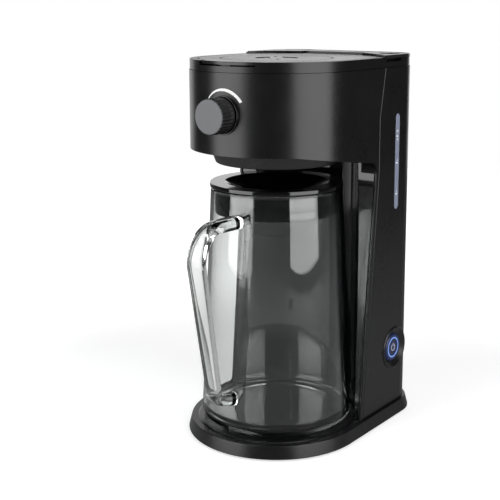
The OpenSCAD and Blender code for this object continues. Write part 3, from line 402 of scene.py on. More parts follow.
# Etched stainless steel filter: brighter, with a finer line
FILTER_STEEL = BareMetal("stainless_steel_etched", "#c4c6c8", 0.28, 0.5, 0.01)
# Extruded aluminium heater body: lines drawn out along one axis
HEATER_ALUMINIUM = BareMetal("aluminium_extruded", "#c6c8ca", 0.36, 0.8, 0.008, (1.0, 1.0, 5.0))
# Light guide round the power button: an even blue glow
LIGHT_GUIDE = LitPlastic("light_guide_blue", "#4a68a8", "#7f9fe0", 0.7)
# Lit symbol in the middle of the button: a dim white
LIT_SYMBOL = LitPlastic("light_guide_white", "#7c8088", "#a4a8b4", 0.5)
# Dark cap of the button, through which the lamp glows a little
GLOWING_CAP = LitPlastic("button_cap_glow", "#0b1120", "#1d2c5c", 0.45)


@lru_cache(maxsize=None)
def material_of(finish: Finish) -> Material:
    """The finish's material, built once."""
    return finish.material()


# Outlines

# Edges that turn more than this many degrees stay sharp, unless a shape asks for another angle
SHARP = 35.0
# Corners that turn less than this many degrees aren't rounded
STRAIGHT_ENOUGH = 12


def arc(centre: Flat, radius: float, start: float, end: float, steps: int) -> list[Flat]:
    """Points along an arc.

    Args:
        centre: Its centre.
        radius: Its radius.
        start: Angle of the first point, in degrees.
        end: Angle of the last point, in degrees.
        steps: Number of equal steps.

    Returns:
        The points, both ends included.
    """
    angles = (math.radians(start + (end - start) * i / steps) for i in range(steps + 1))
    return [(centre[0] + radius * math.cos(a), centre[1] + radius * math.sin(a)) for a in angles]


def quarter(steps: int) -> list[Flat]:
    """1 less the cosine and 1 less the sine at each step of a right angle."""
    angles = (math.radians(90 * k / steps) for k in range(steps + 1))
    return [(1 - math.cos(a), 1 - math.sin(a)) for a in angles]


def softened(points: Sequence[Flat], radius: float, steps: int = 4, closed: bool = True) -> list[Flat]:
    """Rounds the corners of an outline.

    Args:
        points: Corners of the outline.
        radius: Radius wanted at each corner; short edges get less.
        steps: Points on each rounded corner, less one.
        closed: Whether the last point joins the first.

    Returns:
        The outline with a curve at each corner.
    """
    made: list[Flat] = []
    count = len(points)
    for i, corner in enumerate(points):
        here = Vector(corner)
        back, ahead = Vector(points[i - 1]) - here, Vector(points[(i + 1) % count]) - here
        is_end = not closed and i in (0, count - 1)
        if is_end or min(back.length, ahead.length) < 1e-6:
            made.append(corner)
            continue
        turn = math.pi - back.angle(ahead)
        if turn < math.radians(STRAIGHT_ENOUGH):
            made.append(corner)
            continue
        reach = min(radius * math.tan(turn / 2), back.length * 0.45, ahead.length * 0.45)
        first, last = here + back.normalized() * reach, here + ahead.normalized() * reach
        for k in range(steps + 1):
            t = k / steps
            point = first * (1 - t) ** 2 + here * 2 * t * (1 - t) + last * t**2
            made.append((point.x, point.y))
    return made


def fillet(before: Flat, corner: Flat, after: Flat, radius: float, steps: int = 12) -> list[Flat]:
    """Points of the arc that rounds a corner to a radius.

    Args:
        before: Point before the corner.
        corner: The corner.
        after: Point after it.
        radius: Radius of the arc.
        steps: Number of equal steps.

    Returns:
        The arc's points, both ends included.
    """
    here = Vector(corner)
    one, two = (Vector(before) - here).normalized(), (Vector(after) - here).normalized()
    half = one.angle(two) / 2
    reach = radius / math.tan(half)
    centre = here + (one + two).normalized() * (radius / math.sin(half))
    first, last = here + one * reach - centre, here + two * reach - centre
    start = math.degrees(math.atan2(first.y, first.x))
    turn = (math.degrees(math.atan2(last.y, last.x)) - start + 180) % 360 - 180
    return arc((centre.x, centre.y), radius, start, start + turn, steps)


def inset_ring(outline: Sequence[Flat], inset: float) -> list[Flat]:
    """Moves a counterclockwise outline inwards along its corners' bisectors."""
    count = len(outline)
    made = []
    for i in range(count):
        before, here, after = Vector(outline[i - 1]), Vector(outline[i]), Vector(outline[(i + 1) % count])
        one, two = (here - before).normalized(), (after - here).normalized()
        normal = Vector((-(one.y + two.y), one.x + two.x))
        normal /= max(normal.length, 1e-6)
        scale = inset / max(0.35, normal.dot(Vector((-one.y, one.x))))
        made.append((here.x + normal.x * scale, here.y + normal.y * scale))
    return made


def housing_outline(inset: float, half: float, back: float, corner: float) -> list[Flat]:
    """Plan with a round front, flat sides and a flat back with rounded corners.

    Args:
        inset: How far it lies inside the outline.
        half: Half width, and radius of the front.
        back: Distance of the flat back from the jug's axis.
        corner: Radius of the back corners.

    Returns:
        The counterclockwise outline.
    """
    r, b, c = half - inset, back - inset, corner - inset
    points = arc((0, 0), r, 180, 360, 96)
    points += [(r, (b - c) * t) for t in (0.2, 0.4, 0.6, 0.8)]
    points += arc((r - c, b - c), c, 0, 90, 16)
    points += arc((c - r, b - c), c, 90, 180, 16)
    points += [(-r, (b - c) * t) for t in (0.8, 0.6, 0.4, 0.2)]
    return points


# Meshes

# Corners nearer to each other than this are merged, and shorter edges are dissolved
MERGE_MM = 0.002
SLIVER_MM = 0.0005
# Upright edges longer than this get the wider rounding of a housing's seam
LONG_EDGE_MM = 30


def linked(name: str, mesh: bpy.types.Mesh) -> Piece:
    """Puts a mesh into the scene as an object at the origin."""
    piece = bpy.data.objects.new(name, mesh)
    bpy.context.scene.collection.objects.link(piece)
    return piece


def smooth(piece: Piece, sharp: float) -> None:
    """Shades a mesh smooth up to an angle between faces, in degrees."""
    piece.data.shade_smooth()
    piece.data.set_sharp_from_angle(angle=math.radians(sharp))


def tidy(piece: Piece, sharp: float = SHARP) -> Piece:
    """Merges doubles, turns faces outwards and sets which edges stay sharp.

    Args:
        piece: Object whose mesh is tidied.
        sharp: Edges that turn more than this many degrees stay sharp.

    Returns:
        The same object.
    """
    work = bmesh.new()
    work.from_mesh(piece.data)
    bmesh.ops.remove_doubles(work, verts=work.verts, dist=MERGE_MM * MM)
    bmesh.ops.dissolve_degenerate(work, edges=work.edges, dist=SLIVER_MM * MM)
    bmesh.ops.recalc_face_normals(work, faces=work.faces)
    work.to_mesh(piece.data)
    work.free()
    smooth(piece, sharp)
    return piece


def in_frame(points: Iterable[Place]) -> list[Place]:
    """Turns millimetres about the jug's axis into metres in the shared frame."""
    return [(x * MM, (y + AXIS_Y) * MM, z * MM) for x, y, z in points]


def mesh_object(
    name: str, points: Iterable[Place], faces: Iterable[Sequence[int]], sharp: float = SHARP
) -> Piece:
    """Makes a mesh from points about the jug's axis.

    Args:
        name: Name of the object.
        points: Places in millimetres about the jug's axis.
        faces: Corner numbers of each face.
        sharp: Edges that turn more than this many degrees stay sharp.

    Returns:
        The object at the origin, its mesh in metres in the shared frame.
    """
    mesh = bpy.data.meshes.new(name)
    mesh.from_pydata(in_frame(points), [], list(faces))
    return tidy(linked(name, mesh), sharp)


def revolve(name: str, profile: Sequence[Flat], steps: int = 160, sharp: float = SHARP) -> Piece:
    """Turns a closed outline round the jug's axis.

    Args:
        name: Name of the object.
        profile: Radius and height of each corner, in order round the outline.
        steps: Number of steps round the axis.
        sharp: Edges that turn more than this many degrees stay sharp.

    Returns:
        The turned object.
    """
    points = []
    for i in range(steps):
        a = 2 * math.pi * i / steps
        points += [(r * math.cos(a), r * math.sin(a), z) for r, z in profile]
    rows = len(profile)
    faces = []
    for i in range(steps):
        here, there = i * rows, (i + 1) % steps * rows
        for k in range(rows):
            up = (k + 1) % rows
            on_axis = profile[k][0] < 1e-9 and profile[up][0] < 1e-9
            if not on_axis:
                faces.append((here + k, there + k, there + up, here + up))
    return mesh_object(name, points, faces, sharp)


def loft(name: str, rings: Sequence[Sequence[Place]], sharp: float = SHARP) -> Piece:
    """Skins rings that have the same number of points, and closes both ends.

    Args:
        name: Name of the object.
        rings: Rings from one end to the other.
        sharp: Edges that turn more than this many degrees stay sharp.

    Returns:
        The closed object.
    """
    count = len(rings[0])
    points = [p for ring in rings for p in ring]
    faces: list[Sequence[int]] = [
        (k * count + i, k * count + (i + 1) % count, (k + 1) * count + (i + 1) % count, (k + 1) * count + i)
        for k in range(len(rings) - 1)
        for i in range(count)
    ]
    faces += [tuple(range(count)), tuple(range((len(rings) - 1) * count, len(rings) * count))]
    return mesh_object(name, points, faces, sharp)


def level(outline: Sequence[Flat], z: float) -> list[Place]:
    """The outline's points at one height."""
    return [(x, y, z) for x, y in outline]


def prism(name: str, outline: Sequence[Flat], low: float, high: float) -> Piece:
    """An upright block with the given outline.

    Args:
        name: Name of the object.
        outline: Its outline in plan.
        low: Height of its lower face.
        high: Height of its upper face.

    Returns:
        The closed block.
    """
    return loft(name, [level(outline, low), level(outline, high)])


def block(name: str, low: Place, high: Place) -> Piece:
    """A rectangular block used as a cutter or a tab.

    Args:
        name: Name of the object.
        low: Its lowest corner.
        high: Its highest corner.

    Returns:
        The closed block.
    """
    (x0, y0, z0), (x1, y1, z1) = low, high
    return prism(name, [(x0, y0), (x1, y0), (x1, y1), (x0, y1)], z0, z1)


def slab(name: str, outline: Sequence[Flat], low: float, high: float, edge: float) -> Piece:
    """A plate with a counterclockwise outline and a rounded upper edge.

    Args:
        name: Name of the object.
        outline: Its outline in plan.
        low: Height of its lower face.
        high: Height of its upper face.
        edge: Radius of the upper edge.

    Returns:
        The closed plate.
    """
    rings = [level(outline, low), level(outline, high - edge)]
    for across, down in quarter(4)[1:]:
        rings.append(level(inset_ring(outline, edge * across), high - edge * down))
    return loft(name, rings)


def strap(name: str, outer: Sequence[Flat], inner: Sequence[Flat], widths: Sequence[float]) -> Piece:
    """A closed strap between two open side-view lines, with round edges across its width.

    Args:
        name: Name of the object.
        outer: Outer line as Y and Z, from one root to the other.
        inner: Inner line with the same number of points.
        widths: Width across X at each point.

    Returns:
        The strap, its roots closed by flat faces.
    """
    turns = 20
    squareness = 2 / 3.2
    sections = []
    for (oy, oz), (iy, iz), width in zip(outer, inner, widths):
        middle = Vector(((oy + iy) / 2, (oz + iz) / 2))
        reach = Vector(((oy - iy) / 2, (oz - iz) / 2))
        ring = []
        for k in range(turns):
            a = 2 * math.pi * k / turns
            c, s = math.cos(a), math.sin(a)
            u = math.copysign(abs(c) ** squareness, c)
            v = math.copysign(abs(s) ** squareness, s)
            ring.append((width / 2 * v, middle.x + reach.x * u, middle.y + reach.y * u))
        sections.append(ring)
    return loft(name, sections, 60.0)


def about_origin(piece: Piece) -> Piece:
    """Moves a mesh made about the jug's axis to the origin, for use as a repeated shape."""
    piece.data.transform(Matrix.Translation((0, -AXIS_Y * MM, 0)))
    return piece


def moved(piece: Piece, matrix: Matrix) -> Piece:
    """Moves a mesh made about the jug's axis by a matrix in that frame, in millimetres.

    Args:
        piece: Object whose mesh moves.
        matrix: The move, with its shift in millimetres.

    Returns:
        The same object.
    """
    there = Matrix.Translation((0, AXIS_Y * MM, 0))
    metres = matrix.copy()
    metres.translation = matrix.translation * MM
    piece.data.transform(there @ metres @ there.inverted())
    return piece


def onto_front(y: float, z: float) -> Matrix:
    """Turns what stands on +Z to point at -Y, with its foot at y and its axis at z."""
    return Matrix.Translation((0, y, z)) @ Matrix.Rotation(math.radians(90), 4, "X")


def onto_side(x: float, y: float, z: float) -> Matrix:
    """Turns what stands on +Z to point at +X.

    Args:
        x: Place of its foot along X.
        y: Place of its axis along Y.
        z: Height of its axis.

    Returns:
        The matrix, with its shift in millimetres.
    """
    return Matrix.Translation((x, y, z)) @ Matrix.Rotation(math.radians(90), 4, "Y")


def evaluated(piece: Piece) -> Piece:
    """Turns an object's modifiers into its mesh."""
    graph = bpy.context.evaluated_depsgraph_get()
    mesh = bpy.data.meshes.new_from_object(piece.evaluated_get(graph))
    piece.modifiers.clear()
    old, piece.data = piece.data, mesh
    bpy.data.meshes.remove(old)
    return piece


def carved(
    piece: Piece, cutters: Sequence[Piece], operation: str = "DIFFERENCE", sharp: float = SHARP
) -> Piece:
    """Cuts or joins a piece with other objects, and removes those objects.

    Args:
        piece: Object that is worked.
        cutters: Objects that are used up.
        operation: Boolean operation.
        sharp: Edges that turn more than this many degrees stay sharp.

    Returns:
        The worked object.
    """
    for cutter in cutters:
        modifier = piece.modifiers.new("cut", "BOOLEAN")
        modifier.operation = operation
        modifier.solver = "EXACT"
        modifier.object = cutter
        evaluated(piece)
        bpy.data.objects.remove(cutter)
    return tidy(piece, sharp)


def eased(piece: Piece, width: float, limit: float = 40.0, straight: float = 0.0) -> Piece:
    """Rounds the sharp edges of a mesh a little and keeps its flat faces flat to the light.

    Args:
        piece: Object that is worked.
        width: Width of the rounding in millimetres.
        limit: Only edges that turn more than this many degrees are rounded.
        straight: Width of the rounding on long upright edges, where it is wider.

    Returns:
        The worked object.
    """
    work = bmesh.new()
    work.from_mesh(piece.data)
    bmesh.ops.dissolve_limit(work, angle_limit=math.radians(0.4), verts=work.verts, edges=work.edges)
    if straight:
        long_edges = [
            edge
            for edge in work.edges
            if abs(edge.verts[0].co.z - edge.verts[1].co.z) > LONG_EDGE_MM * MM
            and edge.calc_face_angle(0.0) > math.radians(limit)
        ]
        how = {"offset": straight * MM, "segments": 3, "profile": 0.5, "clamp_overlap": False}
        bmesh.ops.bevel(work, geom=long_edges, affect="EDGES", **how)
    work.to_mesh(piece.data)
    work.free()
    modifier = piece.modifiers.new("ease", "BEVEL")
    modifier.width = width * MM
    modifier.segments = 2
    modifier.limit_method = "ANGLE"
    modifier.angle_limit = math.radians(limit)
    modifier.use_clamp_overlap = True
    evaluated(piece)
    smooth(piece, 30.0)
    return piece


def thickened(piece: Piece, depth: float) -> Piece:
    """Gives an open sheet a thickness in millimetres, half of it on each side."""
    modifier = piece.modifiers.new("film", "SOLIDIFY")
    modifier.thickness = depth * MM
    modifier.offset = 0.0
    return tidy(evaluated(piece))


def copied(node: str) -> Piece:
    """A merged copy of a CAD node's mesh, named after the node."""
    piece = linked(node + "_moulding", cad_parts[node].data.copy())
    piece.data.materials.clear()
    attributes = piece.data.attributes
    if "custom_normal" in attributes:
        attributes.remove(attributes["custom_normal"])
    return tidy(piece)


def joined(name: str, pieces: Sequence[Piece]) -> Piece:
    """Joins meshes into one object and removes the others.

    Args:
        name: Name of the joined object.
        pieces: Objects that are used up.

    Returns:
        The joined object.
    """
    work = bmesh.new()
    for piece in pieces:
        work.from_mesh(piece.data)
    mesh = bpy.data.meshes.new(name)
    work.to_mesh(mesh)
    work.free()
    for piece in pieces:
        bpy.data.objects.remove(piece)
    made = linked(name, mesh)
    smooth(made, SHARP)
    return made


def dress(piece: Piece, finish: Finish, body: Body, slot: Slot, *nodes: str) -> None:
    """Gives a piece its finish and its body, and hides the CAD nodes that it stands for.

    Args:
        piece: The finished piece.
        finish: What it is made of.
        body: Body that it moves with.
        slot: Material slot of the record; not used.
        *nodes: CAD nodes that it replaces.
    """
    modifier = piece.modifiers.new("flat_faces", "WEIGHTED_NORMAL")
    modifier.keep_sharp = True
    evaluated(piece)
    piece.data.materials.clear()
    piece.data.materials.append(material_of(finish))
    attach(piece, body.value)
    if nodes:
        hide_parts(*nodes)
    LOG.info("%s rides on %s, %d faces", piece.name, body.value, len(piece.data.polygons))


def repaint(node: str, finish: Finish) -> None:
    """Gives a CAD node that stays in view a finish of its own."""
    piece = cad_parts[node]
    piece.data.materials.clear()
    piece.data.materials.append(material_of(finish))
    LOG.info("%s keeps its CAD shape", node)


# Geometry Nodes


def new_tree(name: str, sizes: dict[str, str]) -> tuple[Tree, Node, Node]:
    """Starts a Geometry Nodes tree with named inputs, the last of them a finish.

    Args:
        name: Name of the tree.
        sizes: Socket type of each further input.

    Returns:
        The tree, its Group Input and its Group Output.
    """
    tree = bpy.data.node_groups.new(name, "GeometryNodeTree")
    tree.interface.new_socket("Geometry", in_out="INPUT", socket_type="NodeSocketGeometry")
    for label, kind in {**sizes, "Finish": "NodeSocketMaterial"}.items():
        tree.interface.new_socket(label, in_out="INPUT", socket_type=kind)
    tree.interface.new_socket("Geometry", in_out="OUTPUT", socket_type="NodeSocketGeometry")
    return tree, tree.nodes.new("NodeGroupInput"), tree.nodes.new("NodeGroupOutput")


def end_tree(tree: Tree, given: Node, result: Node, geometry: Socket) -> Tree:
    """Ends a tree with real meshes that have the finish of its input.

    Args:
        tree: The Geometry Nodes tree.
        given: Its Group Input.
        result: Its Group Output.
        geometry: What it has made so far.

    Returns:
        The same tree.
    """
    real = add_node(tree, "GeometryNodeRealizeInstances", {0: geometry}).outputs[0]
    painted = add_node(tree, "GeometryNodeSetMaterial", {0: real, "Material": given.outputs["Finish"]})
    tree.links.new(painted.outputs[0], result.inputs[0])
    return tree


def grow(piece: Piece, tree: Tree, finish: Finish, values: dict[str, object]) -> Piece:
    """Runs a tree on an object and keeps the mesh that it makes.

    Args:
        piece: Object that the tree starts from.
        tree: The Geometry Nodes tree.
        finish: Finish of what it makes.
        values: Value of each further input.

    Returns:
        The same object with the made mesh.
    """
    modifier = piece.modifiers.new(tree.name, "NODES")
    modifier.node_group = tree
    known = {**values, "Finish": material_of(finish)}
    for item in tree.interface.items_tree:
        if item.in_out == "INPUT" and item.name in known:
            modifier[item.identifier] = known[item.name]
    return evaluated(piece)


@lru_cache(maxsize=None)
def copies_tree() -> Tree:
    """A tree that sets one shape on every point of the mesh that it starts from."""
    tree, given, result = new_tree("copies_on_points", {"Shape": "NodeSocketObject"})
    inputs = {"Object": given.outputs["Shape"], "As Instance": True}
    shape = add_node(tree, "GeometryNodeObjectInfo", inputs, transform_space="ORIGINAL")
    points = add_node(tree, "GeometryNodeMeshToPoints", {0: given.outputs["Geometry"]}).outputs[0]
    inputs = {"Points": points, "Instance": shape.outputs["Geometry"]}
    copies = add_node(tree, "GeometryNodeInstanceOnPoints", inputs).outputs[0]
    return end_tree(tree, given, result, copies)


@lru_cache(maxsize=None)
def turns_tree() -> Tree:
    """A tree that sets one shape at even turns round the vertical through the origin."""
    sizes = {"Count": "NodeSocketInt", "Radius": "NodeSocketFloat", "First": "NodeSocketFloat"}
    tree, given, result = new_tree("copies_in_a_ring", sizes)
    inputs = {"Count": given.outputs["Count"], "Start Location": (0.0, 0.0, 0.0), "Offset": (0.0, 0.0, 0.0)}
    line = add_node(tree, "GeometryNodeMeshLine", inputs, mode="OFFSET").outputs[0]
    index = add_node(tree, "GeometryNodeInputIndex").outputs[0]
    share = maths(tree, "DIVIDE", index, given.outputs["Count"])
    angle = maths(tree, "MULTIPLY_ADD", share, 2 * math.pi, given.outputs["First"])
    turn = add_node(tree, "ShaderNodeCombineXYZ", {"Z": angle}).outputs[0]
    reach = add_node(tree, "ShaderNodeCombineXYZ", {"X": given.outputs["Radius"]}).outputs[0]
    inputs = {"Vector": reach, "Angle": angle}
    out = add_node(tree, "ShaderNodeVectorRotate", inputs, rotation_type="Z_AXIS").outputs[0]
    placed = add_node(tree, "GeometryNodeSetPosition", {0: line, "Position": out}).outputs[0]
    inputs = {"Points": placed, "Instance": given.outputs["Geometry"], "Rotation": turn}
    copies = add_node(tree, "GeometryNodeInstanceOnPoints", inputs).outputs[0]
    return end_tree(tree, given, result, copies)


@lru_cache(maxsize=None)
def flutes_tree() -> Tree:
    """A tree that presses flutes into a round body wherever its "fluted" attribute says."""
    sizes = {"Count": "NodeSocketInt", "Depth": "NodeSocketFloat", "Sharpness": "NodeSocketFloat"}
    tree, given, result = new_tree("flutes_round_a_body", sizes)
    place = add_node(tree, "GeometryNodeInputPosition").outputs[0]
    parts = add_node(tree, "ShaderNodeSeparateXYZ", {0: place}).outputs
    phase = maths(tree, "MULTIPLY", maths(tree, "ARCTAN2", parts["Y"], parts["X"]), given.outputs["Count"])
    half = maths(tree, "MULTIPLY_ADD", maths(tree, "COSINE", phase), 0.5, 0.5)
    groove = maths(tree, "POWER", half, given.outputs["Sharpness"])
    inputs = {"Name": "fluted"}
    where = add_node(tree, "GeometryNodeInputNamedAttribute", inputs, data_type="FLOAT").outputs[0]
    pressed = maths(tree, "MULTIPLY", maths(tree, "MULTIPLY", groove, given.outputs["Depth"]), where)
    flat = add_node(tree, "ShaderNodeCombineXYZ", {"X": parts["X"], "Y": parts["Y"]}).outputs[0]
    outwards = add_node(tree, "ShaderNodeVectorMath", {0: flat}, operation="NORMALIZE").outputs[0]
    inputs = {0: outwards, "Scale": maths(tree, "MULTIPLY", pressed, -1.0)}
    shift = add_node(tree, "ShaderNodeVectorMath", inputs, operation="SCALE").outputs[0]
    inputs = {0: given.outputs["Geometry"], "Offset": shift}
    fluted = add_node(tree, "GeometryNodeSetPosition", inputs).outputs[0]
    return end_tree(tree, given, result, fluted)


def copies_at(name: str, spots: Sequence[Place], shape: Piece, finish: Finish) -> Piece:
    """Sets a shape at each spot and uses the shape up.

    Args:
        name: Name of the made object.
        spots: Places about the jug's axis, in millimetres.
        shape: Shape about the origin, in metres.
        finish: Its finish.

    Returns:
        One object with all the copies.
    """
    mesh = bpy.data.meshes.new(name)
    mesh.from_pydata(in_frame(spots), [], [])
    made = grow(linked(name, mesh), copies_tree(), finish, {"Shape": shape})
    bpy.data.objects.remove(shape)
    return tidy(made)


# Sub-assemblies


def pan_screw(length: float) -> Piece:
    """A pan head screw that points up, about the origin.

    Args:
        length: Length over the head's lower face.

    Returns:
        The screw with a cross recess in its underside.
    """
    head, shank, z = 3.4, 1.55, 1.6
    profile = [(0, 0.0), (head - 0.9, 0.0), (head - 0.3, 0.25), (head, 0.8), (head, z), (shank, z)]
    while z < length - 1.2:
        profile += [(shank, z + 0.25), (shank - 0.3, z + 0.5), (shank - 0.3, z + 0.75), (shank, z + 1.0)]
        z += 1.0
    profile += [(shank - 0.4, length - 0.4), (0, length)]
    bars = ((1.9, 0.35), (0.35, 1.9))
    cross = [block("cross", (-x, -y, -0.5), (x, y, 0.9)) for x, y in bars]
    return about_origin(carved(revolve("screw", profile, 24), cross))


def dress_screws(node: str, spots: Sequence[Place], length: float) -> None:
    """Sets and dresses screws in place of a CAD node's.

    Args:
        node: CAD node of the screws.
        spots: Lowest point of each, about the jug's axis.
        length: Length of each.
    """
    made = copies_at(node + "_crossed", spots, pan_screw(length), PLATED_STEEL)
    dress(made, PLATED_STEEL, Body.MACHINE, Slot.STEEL, node)


@dataclass
class BaseUnit:
    """Low base with its stand plate, base plate, feet and screws."""

    half: float = 86.0
    back: float = 136.0
    corner: float = 36.0
    low: float = 2.0
    high: float = 14.0
    lip: float = 0.9
    draft: float = 2.7
    wall: float = 3.0
    recess: float = 1.6
    border: float = 9.0
    bay_edge: float = 25.5
    bay_r: float = 77.5
    seam: float = 0.3
    plateau_r: float = 75.5
    plateau_top: float = 15.0

    def outline(self, inset: float) -> list[Flat]:
        """The base in plan."""
        return housing_outline(inset, self.half, self.back, self.corner)

    def stand_outline(self, inset: float) -> list[Flat]:
        """Field in front of the column and in its bay."""
        half, edge = self.half - self.border - inset, self.bay_edge - 0.5 - inset
        bay = self.bay_r - inset
        start = math.degrees(math.asin(edge / bay))
        front = arc((0, 0), half, 180, 360, 96)
        side = [(half, edge * 0.5), (half, edge)]
        return front + side + arc((0, 0), bay, start, 180 - start, 72) + [(-half, edge), (-half, edge * 0.5)]

    def shell(self) -> Piece:
        """The moulded shell: rounded edges, recess above, hollow below."""
        lip, low, high = self.lip, self.low, self.high
        rings = [level(self.outline(lip * out), low + lip * up) for up, out in quarter(6)]
        rings += [
            level(self.outline(self.draft + lip * across), high - lip * down) for across, down in quarter(6)
        ]
        stand = prism("stand_cut", self.stand_outline(0), high - self.recess, high + 2)
        hollow = prism("hollow_cut", self.outline(self.wall), 0.0, high - self.wall)
        return eased(carved(loft("base_shell_moulding", rings), [stand, hollow]), 0.3, 50.0)

    def stand_plate(self) -> Piece:
        """Half gloss plate with the low round plateau."""
        low = self.high - self.recess + 0.2
        field = slab("stand_plate_moulding", self.stand_outline(self.seam), low, self.high, 0.15)
        r, high, top = self.plateau_r, self.high, self.plateau_top
        profile = [(0, low + 0.1), (r + 1.5, low + 0.1), (r + 1.5, high + 0.02), (r + 1.1, high + 0.1)]
        profile += [(r + 0.6, top - 0.55), (r + 0.1, top - 0.2), (r - 0.5, top - 0.04), (r - 1.2, top)]
        profile.append((0, top))
        return carved(field, [revolve("plateau", profile, 192)], "UNION")

    def feet(self) -> Piece:
        """Rubber feet with a rounded sole and a groove."""
        profile = [(0, 0.15), (4.2, 0.15), (4.6, 0.45), (5.4, 0.45), (5.8, 0.0), (6.9, 0.0), (7.5, 0.3)]
        profile += [(8.0, 2.0), (0, 2.0)]
        foot = about_origin(revolve("foot", profile, 40))
        spots = [(0, -68, 0), (-66, 10, 0), (66, 10, 0), (-50, 112, 0), (50, 112, 0)]
        return copies_at("rubber_feet", spots, foot, FOOT_RUBBER)

    def build(self) -> None:
        """Builds and dresses the base."""
        dress(self.shell(), HOUSING_ABS, Body.MACHINE, Slot.SATIN_BLACK, "base_shell")
        dress(self.stand_plate(), PLATE_ABS, Body.MACHINE, Slot.GLOSS_BLACK, "stand_plate")
        dress(self.feet(), FOOT_RUBBER, Body.MACHINE, Slot.FOOT_RUBBER, "feet")
        dress(eased(copied("base_plate"), 0.3), BREW_PP, Body.MACHINE, Slot.SATIN_BLACK, "base_plate")
        dress_screws("base_screws", level(((-52, -42), (52, -42), (-58, 92), (58, 92)), 0.4), 8.0)
        dress_screws("housing_screws", level(((-66, 66), (66, 66), (-24, 120), (24, 120)), 9.2), 16.0)


@dataclass
class Housing:
    """Front and rear housings, the concave panel, the printed mark and the cord's gland."""

    half: float = 80.5
    ease: float = 0.45
    seam_ease: float = 0.9
    knob_z: float = 313.0
    arc_r: float = 21.0
    arc_from: float = 150.0
    arc_to: float = 32.0
    arc_thin: float = 0.25
    arc_swell: float = 2.35

    def strength_mark(self) -> Piece:
        """White arc round the knob that grows from thin to thick, printed on the drum."""
        steps, across = 48, 3
        start, end = math.radians(self.arc_from), math.radians(self.arc_to)
        points, faces = [], []
        for i in range(steps + 1):
            t = i / steps
            a = start + (end - start) * t
            width = self.arc_thin + self.arc_swell * min(1.0, t * 1.6) ** 0.8
            for k in range(across + 1):
                r = self.arc_r + width * k / across
                x, z = r * math.cos(a), self.knob_z + r * math.sin(a)
                points.append((x, -math.sqrt(self.half**2 - x * x) - 0.05, z))
        for i in range(steps):
            for k in range(across):
                a = i * (across + 1) + k
                faces.append((a, a + 1, a + across + 2, a + across + 1))
        return thickened(mesh_object("strength_mark", points, faces), 0.04)

    def build(self) -> None:
        """Builds and dresses the housings."""
        for node, finish, slot in (
            ("front_housing", HOUSING_ABS, Slot.SATIN_BLACK),
            ("rear_housing", HOUSING_ABS, Slot.SATIN_BLACK),
            ("column_panel", GLOSS_ABS, Slot.GLOSS_BLACK),
            ("cord_gland", BREW_PP, Slot.SATIN_BLACK),
        ):
            dress(eased(copied(node), self.ease, straight=self.seam_ease), finish, Body.MACHINE, slot, node)
        dress(self.strength_mark(), PAD_INK, Body.MACHINE, Slot.WHITE_PLASTIC)


@dataclass
class Deck:
    """Top frame, the two flap lids, their pins and the spray head."""

    frame_ease: float = 0.4
    lid_ease: float = 0.3

    def build(self) -> None:
        """Builds and dresses what is on top."""
        top = eased(copied("top_frame"), self.frame_ease)
        dress(top, HOUSING_ABS, Body.MACHINE, Slot.SATIN_BLACK, "top_frame")
        for node, body in (("brew_lid", Body.BREW_FLAP), ("tank_lid", Body.TANK_FLAP)):
            dress(eased(copied(node), self.lid_ease), LID_ABS, body, Slot.LID_BLACK, node)
        repaint("spray_head", BREW_PP)
        repaint("spout_seal", SILICONE_RUBBER)
        repaint("brew_lid_pin", PLATED_STEEL)
        repaint("tank_lid_pin", PLATED_STEEL)


